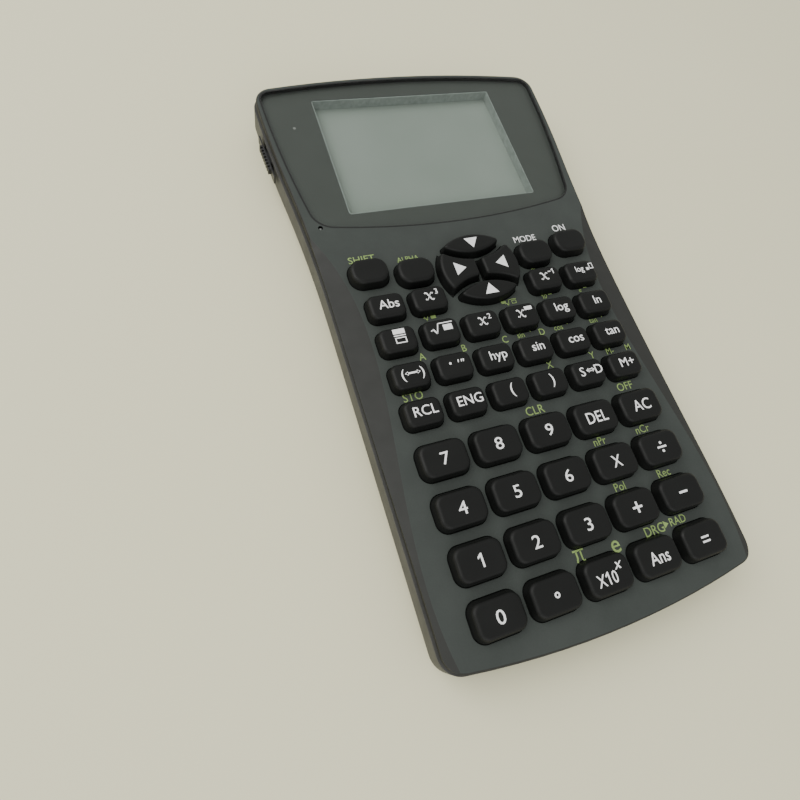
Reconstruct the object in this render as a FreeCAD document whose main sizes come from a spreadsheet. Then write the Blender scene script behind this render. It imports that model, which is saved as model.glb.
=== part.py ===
import FreeCAD, Part
import math
import os

import Sketcher

# A pocket calculator: two moulded shells, a flush display lens, fifty keys that travel in openings of
# the front shell, and the working parts between the shells. Millimetres. +X is to the user's right,
# +Y towards the display, +Z out of the keys, and the origin is the middle of the resting side.

Vector = FreeCAD.Vector
os.makedirs("parts", exist_ok=True)
doc = FreeCAD.newDocument("calculator")


# ---- driving dimensions ----

DIMENSIONS = (
    # heights above the table
    ("rear_skin", 0.8, "underside of the rear shell, above its feet"),
    ("rear_rim", 10.6, "top edge of the rear shell"),
    ("plate_under", 11.2, "inner face of the front shell"),
    ("panel_top", 13.0, "outer face of the front shell"),
    ("board_under", 6.2, "underside of the circuit board"),
    ("board_top", 7.4, "upper side of the circuit board"),
    # outline shared by both shells
    ("side_half", 38.95, "half width of the straight sides"),
    ("flare_start", 6.0, "where the sides begin to flare"),
    ("flare_end", 44.0, "where the flare turns back"),
    ("flare_radius", 380.0, "hollow arc of the flare"),
    ("shoulder_radius", 300.0, "full arc beside the display"),
    ("crown_high", 78.3, "middle of the display end"),
    ("crown_radius", 315.0, "arc of the display end"),
    ("crown_corner", 5.0, "corners of the display end"),
    ("base_low", 77.7, "middle of the other end, below the origin"),
    ("base_radius", 225.0, "arc of that end"),
    ("base_corner", 4.6, "corners of that end"),
    # shells
    ("rear_spread", 0.5, "the rear rim stands proud of the front outline"),
    ("wall", 1.4, "rear shell wall"),
    ("rear_round", 4.2, "rounding under the rear shell"),
    ("panel_round", 0.35, "rounding of the front shell's edge"),
    ("lip_gap", 0.5, "groove between the front shell and the rear shell's wall"),
    ("lip_wall", 1.2, "thickness of the lip"),
    ("lip_deep", 2.2, "depth of the lip"),
    ("facet_drop", 1.15, "fall of the side facets at the edge"),
    ("facet_foot", 33.0, "inner edge of a facet at the number end"),
    ("facet_waist", 34.3, "inner edge beside the small keys"),
    ("facet_neck", 37.0, "inner edge beside the cursor keys"),
    ("facet_tip", 40.4, "inner edge where the facet dies out"),
    # screws
    ("screw_across", 35.2, "screw axis from the middle"),
    ("screw_first", -66.0, "first screw row"),
    ("screw_step", 68.0, "step between the screw rows"),
    ("boss_radius", 2.2, "screw bosses"),
    ("pilot_radius", 0.85, "pilot hole in the front bosses"),
    ("post_radius", 2.7, "rear posts around the screw heads"),
    ("post_high", 4.2, "top of a rear post's wide part, from the skin"),
    ("post_low", 1.3, "foot of that part, inside the rounded skin"),
    ("sink_radius", 2.3, "counterbore for a screw head"),
    ("sink_deep", 3.2, "depth of that counterbore"),
    ("shank_radius", 1.0, "screw shank"),
    ("head_radius", 1.9, "screw head"),
    ("head_high", 1.3, "screw head"),
    # display
    ("lens_thick", 1.2, "display lens"),
    ("lens_gap", 0.2, "clearance around the lens"),
    ("lens_low", 26.3, "lowest point of the lens"),
    ("lens_high", 77.2, "highest point of the lens"),
    ("lens_base_radius", 195.0, "lower edge of the lens"),
    ("lens_base_corner", 6.0, "lower corners of the lens"),
    ("lens_crown_corner", 3.0, "upper corners of the lens"),
    ("lens_half", 41.3, "half width of the lens where it is widest"),
    ("lens_widest", 78.0, "height up the case at which its side arcs would be widest"),
    ("lens_side_radius", 260.0, "side arcs of the lens"),
    ("sound_across", 36.0, "sound hole from the middle"),
    ("sound_along", 29.4, "sound hole"),
    ("sound_radius", 0.6, "sound hole"),
    ("window_wide", 54.7, "clear window"),
    ("window_long", 38.8, "clear window"),
    ("window_mid", 52.55, "centre of the window"),
    ("window_round", 0.8, "window corners"),
    ("skirt_deep", 2.0, "window skirt below the inner face"),
    ("skirt_wall", 1.0, "window skirt"),
    # keys
    ("key_gap", 0.15, "clearance of a key in its opening"),
    ("key_flange", 0.35, "flange width beyond the key"),
    ("flange_thick", 1.0, "flange under the front shell"),
    ("flange_drop", 0.1, "play between the flange and the shell"),
    ("key_skin", 1.3, "key wall and top"),
    ("key_post", 1.5, "radius of the post inside a key"),
    ("key_taper", 11.0, "degrees of taper of a key's sides"),
    ("key_rise", 2.7, "height of a key above the panel"),
    ("key_round", 1.0, "rounding of a key's top"),
    ("digit_wide", 11.7, "large key"),
    ("digit_long", 8.35, "large key"),
    ("digit_corner", 2.6, "large key"),
    ("digit_step_across", 13.0, "large key columns"),
    ("digit_step_along", 11.0, "large key rows"),
    ("digit_first", -67.05, "lowest row of large keys"),
    ("small_wide", 9.5, "small key"),
    ("small_long", 7.0, "small key"),
    ("small_corner", 2.1, "small key"),
    ("small_step_across", 10.84, "small key columns"),
    ("small_step_along", 9.03, "small key rows"),
    ("small_first", -23.1, "lowest row of small keys"),
    ("mode_wide", 10.0, "key beside the cursor pad"),
    ("mode_long", 7.5, "key beside the cursor pad"),
    ("mode_corner", 3.2, "key beside the cursor pad"),
    ("mode_outer", 28.3, "outer pair"),
    ("mode_outer_along", 14.0, "outer pair"),
    ("mode_inner", 16.9, "inner pair"),
    ("mode_inner_along", 12.3, "inner pair"),
    # cursor pad
    ("pad_along", 10.5, "centre of the cursor pad"),
    ("pad_radius", 11.0, "outer arc of its side keys"),
    ("pad_web", 1.0, "web between cursor keys"),
    ("pad_reach", 6.9, "centre of the pad to an upper or lower key"),
    ("almond_radius", 13.65, "long arcs of those keys"),
    ("almond_half", 3.05, "half their width"),
    ("almond_tip", 1.0, "their rounded tips"),
    ("almond_skin", 0.78, "their side wall"),
    ("pad_round", 0.85, "rounding of a cursor key"),
    # membrane
    ("sheet_thick", 0.5, "rubber sheet"),
    ("sheet_wide", 64.6, "rubber sheet"),
    ("sheet_low", -72.6, "lower edge of the sheet"),
    ("sheet_high", 22.6, "upper edge of the sheet"),
    ("dome_radius", 2.6, "rubber dome"),
    ("dome_high", 0.8, "rubber dome above the sheet"),
    ("dome_taper", 20.0, "degrees"),
    # power and switch
    ("cell_wide", 42.0, "battery"),
    ("cell_long", 52.0, "battery"),
    ("cell_thick", 3.1, "battery"),
    ("cell_along", 6.0, "centre of the battery"),
    ("bay_gap", 1.0, "room around the battery"),
    ("bay_wall", 1.2, "wall around the battery bay"),
    ("bay_high", 5.2, "that wall, from the rear skin"),
    ("hatch_ledge", 1.2, "ledge that the battery cover's edge lies on"),
    ("hatch_edge", 0.8, "thickness of that edge"),
    ("hatch_gap", 0.15, "clearance around the battery cover"),
    ("grip_along", 20.8, "first grip groove, below the middle of the battery cover"),
    ("switch_along", 56.3, "slide switch"),
    ("switch_turn", 3.4, "degrees by which the case wall leans there, and the switch with it"),
    ("switch_long", 8.4, "its ribbed knob"),
    ("switch_high", 2.0, "its ribbed knob"),
    ("switch_level", 8.45, "slide switch above the table"),
    ("switch_stand", 2.89, "the case is this much wider at the slide switch than at its straight sides"),
    ("knob_out", 1.5, "its knob proud of the case"),
    ("knob_rib", 0.5, "gap between two of the knob's ribs"),
    ("apron_long", 14.4, "its plate outside the case wall"),
    ("apron_high", 2.6, "that plate"),
    ("apron_out", 0.85, "that plate's outer face proud of the case"),
    ("apron_gap", 0.5, "room between that plate and the case, and between the case and the tongue"),
    ("neck_long", 4.0, "its neck in the slot"),
    ("neck_gap", 0.2, "clearance above and below the neck"),
    ("tongue_long", 6.0, "its tongue behind the case wall"),
    ("tongue_thick", 0.8, "that tongue"),
    ("finger_deep", 3.2, "reach of its finger behind the case wall"),
    ("slot_long", 9.0, "slot of the slide switch"),
    ("slot_along", 56.8, "centre of that slot"),
    ("slot_high", 1.9, "that slot"),
    # electronics
    ("board_half", 32.4, "circuit board below the display"),
    ("board_half_wide", 36.2, "circuit board beside the display"),
    ("board_low", -74.0, "lower edge of the board"),
    ("board_step", 25.0, "where the board widens"),
    ("board_step_high", 65.2, "where it narrows again"),
    ("board_high", 74.0, "upper edge of the board"),
    ("glass_wide", 61.0, "display glass"),
    ("glass_long", 44.0, "display glass"),
    ("glass_thick", 1.0, "display glass"),
    ("tray_thick", 0.55, "backlight tray under the glass"),
    ("ribbon_long", 1.8, "flat connector of the display"),
    # feet
    ("foot_radius", 4.0, "moulded foot"),
    ("foot_across", 29.0, "foot from the middle"),
    ("foot_along", 66.0, "foot from the middle"),
)

sheet = doc.addObject("Spreadsheet::Sheet", "dims")
for row, (alias, value, note) in enumerate(DIMENSIONS, start=1):
    sheet.set(f"A{row}", note)
    sheet.set(f"B{row}", str(value))
    sheet.setAlias(f"B{row}", alias)
doc.recompute()


def size(alias):
    """The number in the sheet's cell of that name."""
    return float(sheet.get(alias))


# ---- sketch and feature helpers ----

ORIGIN = (-1, 1)
UPRIGHT_AXIS = (-2,)


def origin_part(body, role):
    """One of the body's own origin planes or axes."""
    return next(part for part in body.Origin.OriginFeatures if part.Role == role)


def bind(thing, **expressions):
    """Bind properties to the sheet, with the dots of a path written as double underscores."""
    for path, expression in expressions.items():
        thing.setExpression(path.replace("__", "."), expression)


def new_body(label, level="0", across="0", along="0"):
    """A body whose own zero stands at the given place of the calculator."""
    body = doc.addObject("PartDesign::Body", label)
    body.Label = label
    bind(body, Placement__Base__x=across, Placement__Base__y=along, Placement__Base__z=level)
    return body


def new_sketch(body, name, across="0", along="0", lift="0", role="XY_Plane"):
    """A sketch on an origin plane of the body, moved by three sheet expressions."""
    sketch = body.newObject("Sketcher::SketchObject", name)
    sketch.AttachmentSupport = (origin_part(body, role), [""])
    sketch.MapMode = "FlatFace"
    bind(sketch, AttachmentOffset__Base__x=across, AttachmentOffset__Base__y=along,
         AttachmentOffset__Base__z=lift)
    return sketch


def drive(sketch, constraint, expression):
    """Add a sized constraint and bind it to the sheet."""
    index = sketch.addConstraint(constraint)
    sketch.renameConstraint(index, f"size{index}")
    sketch.setExpression(f"Constraints.size{index}", expression)


def value_of(expression):
    """The number that a sheet expression stands for."""
    holder = sheet.evalExpression(expression.replace("dims.", ""))
    return float(holder)


def add_rectangle(sketch, wide, long, corner="0"):
    """A rectangle about the sketch's zero, with rounded corners where corner is given."""
    half_wide = value_of(wide) / 2
    half_long = value_of(long) / 2
    radius = value_of(corner)
    first = sketch.GeometryCount
    centres = [(half_wide - radius, radius - half_long), (half_wide - radius, half_long - radius),
               (radius - half_wide, half_long - radius), (radius - half_wide, radius - half_long)]
    turns = [-math.pi / 2 + quarter * math.pi / 2 for quarter in range(4)]
    starts = [Vector(x + radius * math.cos(turn), y + radius * math.sin(turn), 0)
              for (x, y), turn in zip(centres, turns)]
    ends = [Vector(x - radius * math.sin(turn), y + radius * math.cos(turn), 0)
            for (x, y), turn in zip(centres, turns)]
    sides = [Part.LineSegment(ends[index - 1], starts[index]) for index in range(4)]
    if radius == 0:
        sketch.addGeometry(sides, False)
        sketch.addConstraint([Sketcher.Constraint("Coincident", first + index, 2,
                                                  first + (index + 1) % 4, 1) for index in range(4)])
        bottom, right, top, left = range(first, first + 4)
    else:
        for side, (x, y), turn in zip(sides, centres, turns):
            circle = Part.Circle(Vector(x, y, 0), Vector(0, 0, 1), radius)
            sketch.addGeometry([side, Part.ArcOfCircle(circle, turn, turn + math.pi / 2)], False)
        bottom, right, top, left = range(first, first + 8, 2)
        arcs = range(first + 1, first + 8, 2)
        for side, arc, following in zip((bottom, right, top, left), arcs, (right, top, left, bottom)):
            sketch.addConstraint([Sketcher.Constraint("Tangent", side, 2, arc, 1),
                                  Sketcher.Constraint("Tangent", arc, 2, following, 1)])
        for arc in arcs[1:]:
            sketch.addConstraint(Sketcher.Constraint("Equal", arcs[0], arc))
        drive(sketch, Sketcher.Constraint("Radius", arcs[0], radius), corner)
    sketch.addConstraint([Sketcher.Constraint("Horizontal", bottom), Sketcher.Constraint("Horizontal", top),
                          Sketcher.Constraint("Vertical", right), Sketcher.Constraint("Vertical", left),
                          Sketcher.Constraint("Symmetric", bottom, 1, top, 1, *ORIGIN)])
    drive(sketch, Sketcher.Constraint("DistanceX", left, 1, right, 1, 2 * half_wide), wide)
    drive(sketch, Sketcher.Constraint("DistanceY", bottom, 1, top, 1, 2 * half_long), long)


def add_circle(sketch, radius):
    """A circle about the sketch's zero."""
    circle = Part.Circle(Vector(0, 0, 0), Vector(0, 0, 1), value_of(radius))
    index = sketch.addGeometry(circle, False)
    sketch.addConstraint(Sketcher.Constraint("Coincident", index, 3, *ORIGIN))
    drive(sketch, Sketcher.Constraint("Radius", index, circle.Radius), radius)


def extrude(body, kind, sketch, length, reverse=False, taper=None):
    """Pad or pocket a sketch by a sheet expression."""
    feature = body.newObject(f"PartDesign::{kind}", f"{sketch.Name}_{kind.lower()}")
    feature.Profile = sketch
    feature.Reversed = reverse
    bind(feature, Length=length)
    if taper:
        bind(feature, TaperAngle=taper)
    sketch.Visibility = False
    return feature


def pad(body, sketch, length, reverse=False, taper=None):
    """Add the extruded sketch to the body, its sides leaning by taper."""
    return extrude(body, "Pad", sketch, length, reverse, taper)


def pocket(body, sketch, length, reverse=False):
    """Cut the extruded sketch from the body."""
    return extrude(body, "Pocket", sketch, length, reverse)


def grid(body, features, across=None, along=None, mirror=False):
    """Repeat features in columns and rows, each given as (step, count), or mirror them left to right."""
    transform = body.newObject("PartDesign::MultiTransform", f"{features[-1].Name}_grid")
    transform.Originals = features
    steps = []
    for run, role in ((across, "X_Axis"), (along, "Y_Axis")):
        if run:
            step, count = run
            pattern = doc.addObject("PartDesign::LinearPattern", f"{features[-1].Name}_{role[0]}")
            pattern.Direction = (origin_part(body, role), [""])
            pattern.Occurrences = count
            bind(pattern, Length=f"({step}) * {count - 1}")
            steps.append(pattern)
    if mirror:
        flip = doc.addObject("PartDesign::Mirrored", f"{features[-1].Name}_mirror")
        flip.MirrorPlane = (origin_part(body, "YZ_Plane"), [""])
        steps.append(flip)
    transform.Transformations = steps
    body.Tip = transform
    return transform


def fillet(body, base, edges, radius):
    """Round the named edges of a feature."""
    feature = body.newObject("PartDesign::Fillet", f"{base.Name}_round")
    feature.Base = (base, edges)
    bind(feature, Radius=radius)
    return feature


def edges_where(feature, wanted):
    """Names of the feature's edges for which wanted is true."""
    doc.recompute()
    return [f"Edge{index}" for index, edge in enumerate(feature.Shape.Edges, start=1) if wanted(edge)]


def level_edges(feature, level):
    """Names of the edges that lie at one height of the body's own frame."""
    return edges_where(feature, lambda edge: abs(edge.BoundBox.ZMin - level) < 1e-4
                       and abs(edge.BoundBox.ZMax - level) < 1e-4)


# ---- the outline of the case ----

def meeting(centre_a, reach_a, centre_b, reach_b, right_side):
    """The point at the two distances from two centres, on the right or left of the line from a to b."""
    gap = centre_b - centre_a
    distance = gap.Length
    along = (distance ** 2 + reach_a ** 2 - reach_b ** 2) / (2 * distance)
    aside = math.sqrt(reach_a ** 2 - along ** 2)
    forward = gap / distance
    sideways = Vector(forward.y, -forward.x, 0)
    return centre_a + forward * along + sideways * (aside if right_side else -aside)


def towards(start, through, distance):
    """The point at a distance from start, in the direction of another point."""
    return start + (through - start).normalize() * distance


def mirrored(point):
    """The same point on the other side of the calculator."""
    return Vector(-point.x, point.y, point.z)


def half_outline(offset):
    """Joints and arc centres of the right half of the outline, widened by offset."""
    side = size("side_half")
    flare_centre = Vector(side + size("flare_radius"), size("flare_start"), 0)
    rise = size("flare_end") - size("flare_start")
    run = math.sqrt(size("flare_radius") ** 2 - rise ** 2)
    shoulder_reach = size("flare_radius") + size("shoulder_radius")
    turn_back = Vector(flare_centre.x - run, size("flare_end"), 0)
    shoulder_centre = towards(flare_centre, turn_back, shoulder_reach)
    crown_centre = Vector(0, size("crown_high") - size("crown_radius"), 0)
    base_centre = Vector(0, size("base_radius") - size("base_low"), 0)
    crown_corner = meeting(shoulder_centre, size("shoulder_radius") - size("crown_corner"),
                           crown_centre, size("crown_radius") - size("crown_corner"), False)
    corner_across = side - size("base_corner")
    corner_reach = size("base_radius") - size("base_corner")
    corner_drop = math.sqrt(corner_reach ** 2 - corner_across ** 2)
    base_corner = Vector(corner_across, base_centre.y - corner_drop, 0)
    flare = size("flare_radius") - offset
    return {
        "joints": [Vector(side + offset, base_corner.y, 0), Vector(side + offset, flare_centre.y, 0),
                   towards(flare_centre, turn_back, flare),
                   towards(shoulder_centre, crown_corner, size("shoulder_radius") + offset),
                   towards(crown_centre, crown_corner, size("crown_radius") + offset),
                   towards(base_centre, base_corner, size("base_radius") + offset)],
        "flare": flare_centre,
        "shoulder": shoulder_centre,
        "crown_corner": crown_corner,
        "base_corner": base_corner,
        "crown": crown_centre,
        "base": base_centre,
    }


def arc_between(centre, start, end):
    """The short arc from start to end, and its start's and end's point numbers in a sketch."""
    angles = [math.atan2(point.y - centre.y, point.x - centre.x) for point in (start, end)]
    circle = Part.Circle(centre, Vector(0, 0, 1), (start - centre).Length)
    sweep = (angles[1] - angles[0]) % (2 * math.pi)
    if sweep < math.pi:
        return Part.ArcOfCircle(circle, angles[0], angles[0] + sweep), (1, 2)
    return Part.ArcOfCircle(circle, angles[1], angles[1] - sweep + 2 * math.pi), (2, 1)


def run_between(centre, start, end):
    """The arc from start to end, or the straight line where there is no centre."""
    if centre:
        return arc_between(centre, start, end)
    return Part.LineSegment(start, end), (1, 2)


def add_outline(sketch, offset):
    """The closed outline of the case, widened by the sheet expression offset, with every joint smooth."""
    half = half_outline(value_of(offset))
    right = half["joints"]
    left = [mirrored(point) for point in right]
    runs = [(None, right[0], right[1]), (half["flare"], right[1], right[2]),
            (half["shoulder"], right[2], right[3]), (half["crown_corner"], right[3], right[4]),
            (half["crown"], right[4], left[4]), (mirrored(half["crown_corner"]), left[4], left[3]),
            (mirrored(half["shoulder"]), left[3], left[2]), (mirrored(half["flare"]), left[2], left[1]),
            (None, left[1], left[0]), (mirrored(half["base_corner"]), left[0], left[5]),
            (half["base"], left[5], right[5]), (half["base_corner"], right[5], right[0])]
    first = sketch.GeometryCount
    ends = []
    for centre, start, end in runs:
        curve, numbers = run_between(centre, start, end)
        sketch.addGeometry(curve, False)
        ends.append(numbers)
    for index, numbers in enumerate(ends):
        following = (index + 1) % len(ends)
        sketch.addConstraint(Sketcher.Constraint("Tangent", first + index, numbers[1],
                                                 first + following, ends[following][0]))
    (side, flare, shoulder, corner, crown, corner_b, shoulder_b, flare_b, side_b,
     base_corner_b, base, base_corner) = range(first, first + 12)
    sketch.addConstraint([Sketcher.Constraint("Vertical", side), Sketcher.Constraint("Vertical", side_b),
                          Sketcher.Constraint("PointOnObject", crown, 3, *UPRIGHT_AXIS),
                          Sketcher.Constraint("PointOnObject", base, 3, *UPRIGHT_AXIS)])
    reach = right[0].x
    side_place = f"dims.side_half + ({offset})"
    drive(sketch, Sketcher.Constraint("DistanceX", *ORIGIN, side, 1, reach), side_place)
    drive(sketch, Sketcher.Constraint("DistanceX", side_b, 1, *ORIGIN, reach), side_place)
    turn_back = (f"dims.flare_start + (dims.flare_end - dims.flare_start)"
                 f" * (1 - ({offset}) / dims.flare_radius)")
    for line, end, arc in ((side, 2, flare), (side_b, 1, flare_b)):
        drive(sketch, Sketcher.Constraint("DistanceY", *ORIGIN, line, end, right[1].y), "dims.flare_start")
        far_end = 1 if arc == flare else 2
        drive(sketch, Sketcher.Constraint("DistanceY", *ORIGIN, arc, far_end, right[2].y), turn_back)
    radii = ((flare, "dims.flare_radius - "), (flare_b, "dims.flare_radius - "),
             (shoulder, "dims.shoulder_radius + "), (shoulder_b, "dims.shoulder_radius + "),
             (corner, "dims.crown_corner + "), (corner_b, "dims.crown_corner + "),
             (crown, "dims.crown_radius + "), (base, "dims.base_radius + "),
             (base_corner, "dims.base_corner + "), (base_corner_b, "dims.base_corner + "))
    for arc, radius in radii:
        drive(sketch, Sketcher.Constraint("Radius", arc, sketch.Geometry[arc].Radius),
              f"{radius}({offset})")
    drive(sketch, Sketcher.Constraint("DistanceY", crown, 3, *ORIGIN, -half["crown"].y),
          "dims.crown_radius - dims.crown_high")
    drive(sketch, Sketcher.Constraint("DistanceY", *ORIGIN, base, 3, half["base"].y),
          "dims.base_radius - dims.base_low")


# ---- openings and places of the keys ----

DIGIT_COLUMNS = 5
DIGIT_ROWS = 4
SMALL_COLUMNS = 6
SMALL_ROWS = 3
DIGIT_GRID = {"across": ("dims.digit_step_across", DIGIT_COLUMNS),
              "along": ("dims.digit_step_along", DIGIT_ROWS)}
SMALL_GRID = {"across": ("dims.small_step_across", SMALL_COLUMNS),
              "along": ("dims.small_step_along", SMALL_ROWS)}
DIGIT_LEFT = "-2 * dims.digit_step_across"
SMALL_LEFT = "-2.5 * dims.small_step_across"
SMALL_LAST = "dims.small_first + 3 * dims.small_step_along"


def add_almond(sketch, offset="0"):
    """The outline of an upper or lower cursor key: two long arcs with rounded tips, widened by offset."""
    grow = value_of(offset)
    radius = size("almond_radius")
    tip = size("almond_tip")
    drop = radius - size("almond_half")
    tip_across = math.sqrt((radius - tip) ** 2 - drop ** 2)
    first = sketch.GeometryCount
    below, right, above, left = (Vector(0, drop, 0), Vector(tip_across, 0, 0),
                                 Vector(0, -drop, 0), Vector(-tip_across, 0, 0))
    centres = [below, right, above, left]
    corner = [towards(long_arc, tip_arc, radius + grow)
              for long_arc, tip_arc in ((below, right), (above, right), (above, left), (below, left))]
    for index, centre in enumerate(centres):
        curve, _ = arc_between(centre, corner[index - 1], corner[index])
        sketch.addGeometry(curve, False)
    for index in range(4):
        sketch.addConstraint(Sketcher.Constraint("Tangent", first + index, 2,
                                                 first + (index + 1) % 4, 1))
    sketch.addConstraint([Sketcher.Constraint("PointOnObject", first, 3, *UPRIGHT_AXIS),
                          Sketcher.Constraint("PointOnObject", first + 2, 3, *UPRIGHT_AXIS)])
    for arc, alias in zip(range(first, first + 4), ("almond_radius", "almond_tip") * 2):
        drive(sketch, Sketcher.Constraint("Radius", arc, sketch.Geometry[arc].Radius),
              f"dims.{alias} + ({offset})")
    reach = "dims.almond_radius - dims.almond_half"
    drive(sketch, Sketcher.Constraint("DistanceY", *ORIGIN, first, 3, drop), reach)
    drive(sketch, Sketcher.Constraint("DistanceY", first + 2, 3, *ORIGIN, drop), reach)


def add_side_cursor(sketch, side, offset="0"):
    """The outline of a left (-1) or right (1) cursor key about the pad's centre, widened by offset."""
    grow = value_of(offset)
    outer = size("pad_radius") + grow
    inner = size("pad_web") / 2 - grow
    hollow = size("almond_radius") + size("pad_web") - grow
    reach = size("pad_reach") + size("almond_radius") - size("almond_half")
    middle = Vector(0, 0, 0)
    above = Vector(0, reach, 0)
    below = Vector(0, -reach, 0)
    inner_high = Vector(side * inner, reach - math.sqrt(hollow ** 2 - inner ** 2), 0)
    outer_high = meeting(middle, outer, above, hollow, side > 0)
    inner_low = Vector(inner_high.x, -inner_high.y, 0)
    outer_low = Vector(outer_high.x, -outer_high.y, 0)
    loop = [(middle, outer_low, outer_high), (above, outer_high, inner_high),
            (None, inner_high, inner_low), (below, inner_low, outer_low)]
    first = sketch.GeometryCount
    ends = []
    for centre, start, end in loop:
        curve, numbers = run_between(centre, start, end)
        sketch.addGeometry(curve, False)
        ends.append(numbers)
    for index, numbers in enumerate(ends):
        following = (index + 1) % len(ends)
        sketch.addConstraint(Sketcher.Constraint("Coincident", first + index, numbers[1],
                                                 first + following, ends[following][0]))
    round_side, upper, straight, lower = range(first, first + 4)
    sketch.addConstraint([Sketcher.Constraint("Coincident", round_side, 3, *ORIGIN),
                          Sketcher.Constraint("Vertical", straight),
                          Sketcher.Constraint("PointOnObject", upper, 3, *UPRIGHT_AXIS),
                          Sketcher.Constraint("PointOnObject", lower, 3, *UPRIGHT_AXIS)])
    drive(sketch, Sketcher.Constraint("Radius", round_side, outer), f"dims.pad_radius + ({offset})")
    for arc in (upper, lower):
        drive(sketch, Sketcher.Constraint("Radius", arc, hollow),
              f"dims.almond_radius + dims.pad_web - ({offset})")
    rise = "dims.pad_reach + dims.almond_radius - dims.almond_half"
    drive(sketch, Sketcher.Constraint("DistanceY", *ORIGIN, upper, 3, reach), rise)
    drive(sketch, Sketcher.Constraint("DistanceY", lower, 3, *ORIGIN, reach), rise)
    gap = ((straight, 1), ORIGIN) if side < 0 else (ORIGIN, (straight, 1))
    drive(sketch, Sketcher.Constraint("DistanceX", *gap[0], *gap[1], inner),
          f"dims.pad_web / 2 - ({offset})")


# ---- keys ----

SHELL_THICK = "dims.panel_top - dims.plate_under"


def key(label, across, along, draw, rounding, draw_hollow):
    """A hollow key: cap above the panel, shank in its opening, flange and post below."""
    body = new_body(label, "dims.panel_top", across, along)
    face = new_sketch(body, "cap_outline")
    draw(face, "0")
    cap = pad(body, face, "dims.key_rise", taper="-dims.key_taper")
    fillet(body, cap, level_edges(cap, size("key_rise")), rounding)
    pad(body, face, f"{SHELL_THICK} + dims.flange_drop", reverse=True)
    flange_level = f"-({SHELL_THICK} + dims.flange_drop)"
    foot = new_sketch(body, "flange_outline", lift=flange_level)
    draw(foot, "dims.key_flange")
    pad(body, foot, "dims.flange_thick", reverse=True)
    mouth = new_sketch(body, "hollow_outline", lift=f"{flange_level} - dims.flange_thick")
    draw_hollow(mouth)
    pocket(body, mouth, f"{SHELL_THICK} + dims.flange_drop + dims.flange_thick + dims.key_rise"
           " - 2 * dims.key_skin", reverse=True)
    stem = new_sketch(body, "post_outline", lift=f"{flange_level} - dims.flange_thick")
    add_circle(stem, "dims.key_post")
    pad(body, stem, f"{SHELL_THICK} + dims.flange_drop + dims.flange_thick + dims.key_rise"
        " - dims.key_skin")
    return body


def block_key(label, across, along, kind):
    """A rounded rectangular key; kind is digit, small or mode."""
    wide, long, corner = (f"dims.{kind}_{measure}" for measure in ("wide", "long", "corner"))

    def draw(sketch, offset):
        add_rectangle(sketch, f"{wide} + 2 * ({offset})", f"{long} + 2 * ({offset})",
                      f"{corner} + ({offset})")

    def draw_hollow(sketch):
        inset = "2 * dims.key_skin"
        add_rectangle(sketch, f"{wide} - {inset}", f"{long} - {inset}", f"{corner} - dims.key_skin")

    return key(label, across, along, draw, "dims.key_round", draw_hollow)


DIGIT_LABELS = (("key_0", "key_point", "key_exponent", "key_answer", "key_equals"),
                ("key_1", "key_2", "key_3", "key_plus", "key_minus"),
                ("key_4", "key_5", "key_6", "key_times", "key_divide"),
                ("key_7", "key_8", "key_9", "key_delete", "key_all_clear"))
SMALL_LABELS = (("key_recall", "key_engineering", "key_bracket_open", "key_bracket_close",
                 "key_convert", "key_memory_plus"),
                ("key_negative", "key_degrees", "key_hyperbolic", "key_sine", "key_cosine", "key_tangent"),
                ("key_fraction", "key_root", "key_square", "key_power", "key_log", "key_natural_log"),
                ("key_absolute", "key_cube", None, None, "key_reciprocal", "key_log_base"))


def digit_keys():
    """The large keys of the number block."""
    return [block_key(label, f"({column} - 2) * dims.digit_step_across",
                      f"dims.digit_first + {row} * dims.digit_step_along", "digit")
            for row, labels in enumerate(DIGIT_LABELS) for column, label in enumerate(labels)]


def small_keys():
    """The small keys between the number block and the cursor pad."""
    return [block_key(label, f"({column} - 2.5) * dims.small_step_across",
                      f"dims.small_first + {row} * dims.small_step_along", "small")
            for row, labels in enumerate(SMALL_LABELS) for column, label in enumerate(labels) if label]


def mode_keys():
    """The two pairs of keys beside the cursor pad."""
    return [block_key("key_shift", "-dims.mode_outer", "dims.mode_outer_along", "mode"),
            block_key("key_alpha", "-dims.mode_inner", "dims.mode_inner_along", "mode"),
            block_key("key_mode", "dims.mode_inner", "dims.mode_inner_along", "mode"),
            block_key("key_on", "dims.mode_outer", "dims.mode_outer_along", "mode")]


def almond_key(label, side):
    """The cursor key above (1) or below (-1) the pad's centre."""
    def draw_hollow(sketch):
        add_almond(sketch, "-dims.almond_skin")

    return key(label, "0", f"dims.pad_along + {side} * dims.pad_reach", add_almond, "dims.pad_round",
               draw_hollow)


def side_key(label, side):
    """The cursor key at the left (-1) or right (1) of the pad's centre, solid but for its flange."""
    body = new_body(label, "dims.panel_top", "0", "dims.pad_along")
    face = new_sketch(body, "cap_outline")
    add_side_cursor(face, side)
    cap = pad(body, face, "dims.key_rise", taper="-dims.key_taper")
    raised = edges_where(cap, lambda edge: edge.BoundBox.ZMax > size("key_rise") - 1e-4)
    fillet(body, cap, raised, "dims.pad_round")
    pad(body, face, f"{SHELL_THICK} + dims.flange_drop", reverse=True)
    foot = new_sketch(body, "flange_outline", lift=f"-({SHELL_THICK} + dims.flange_drop)")
    add_side_cursor(foot, side, "dims.key_flange")
    pad(body, foot, "dims.flange_thick", reverse=True)
    return body


def cursor_keys():
    """The four keys of the cursor pad."""
    return [almond_key("cursor_up", 1), almond_key("cursor_down", -1),
            side_key("cursor_left", -1), side_key("cursor_right", 1)]


# ---- front shell ----

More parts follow.
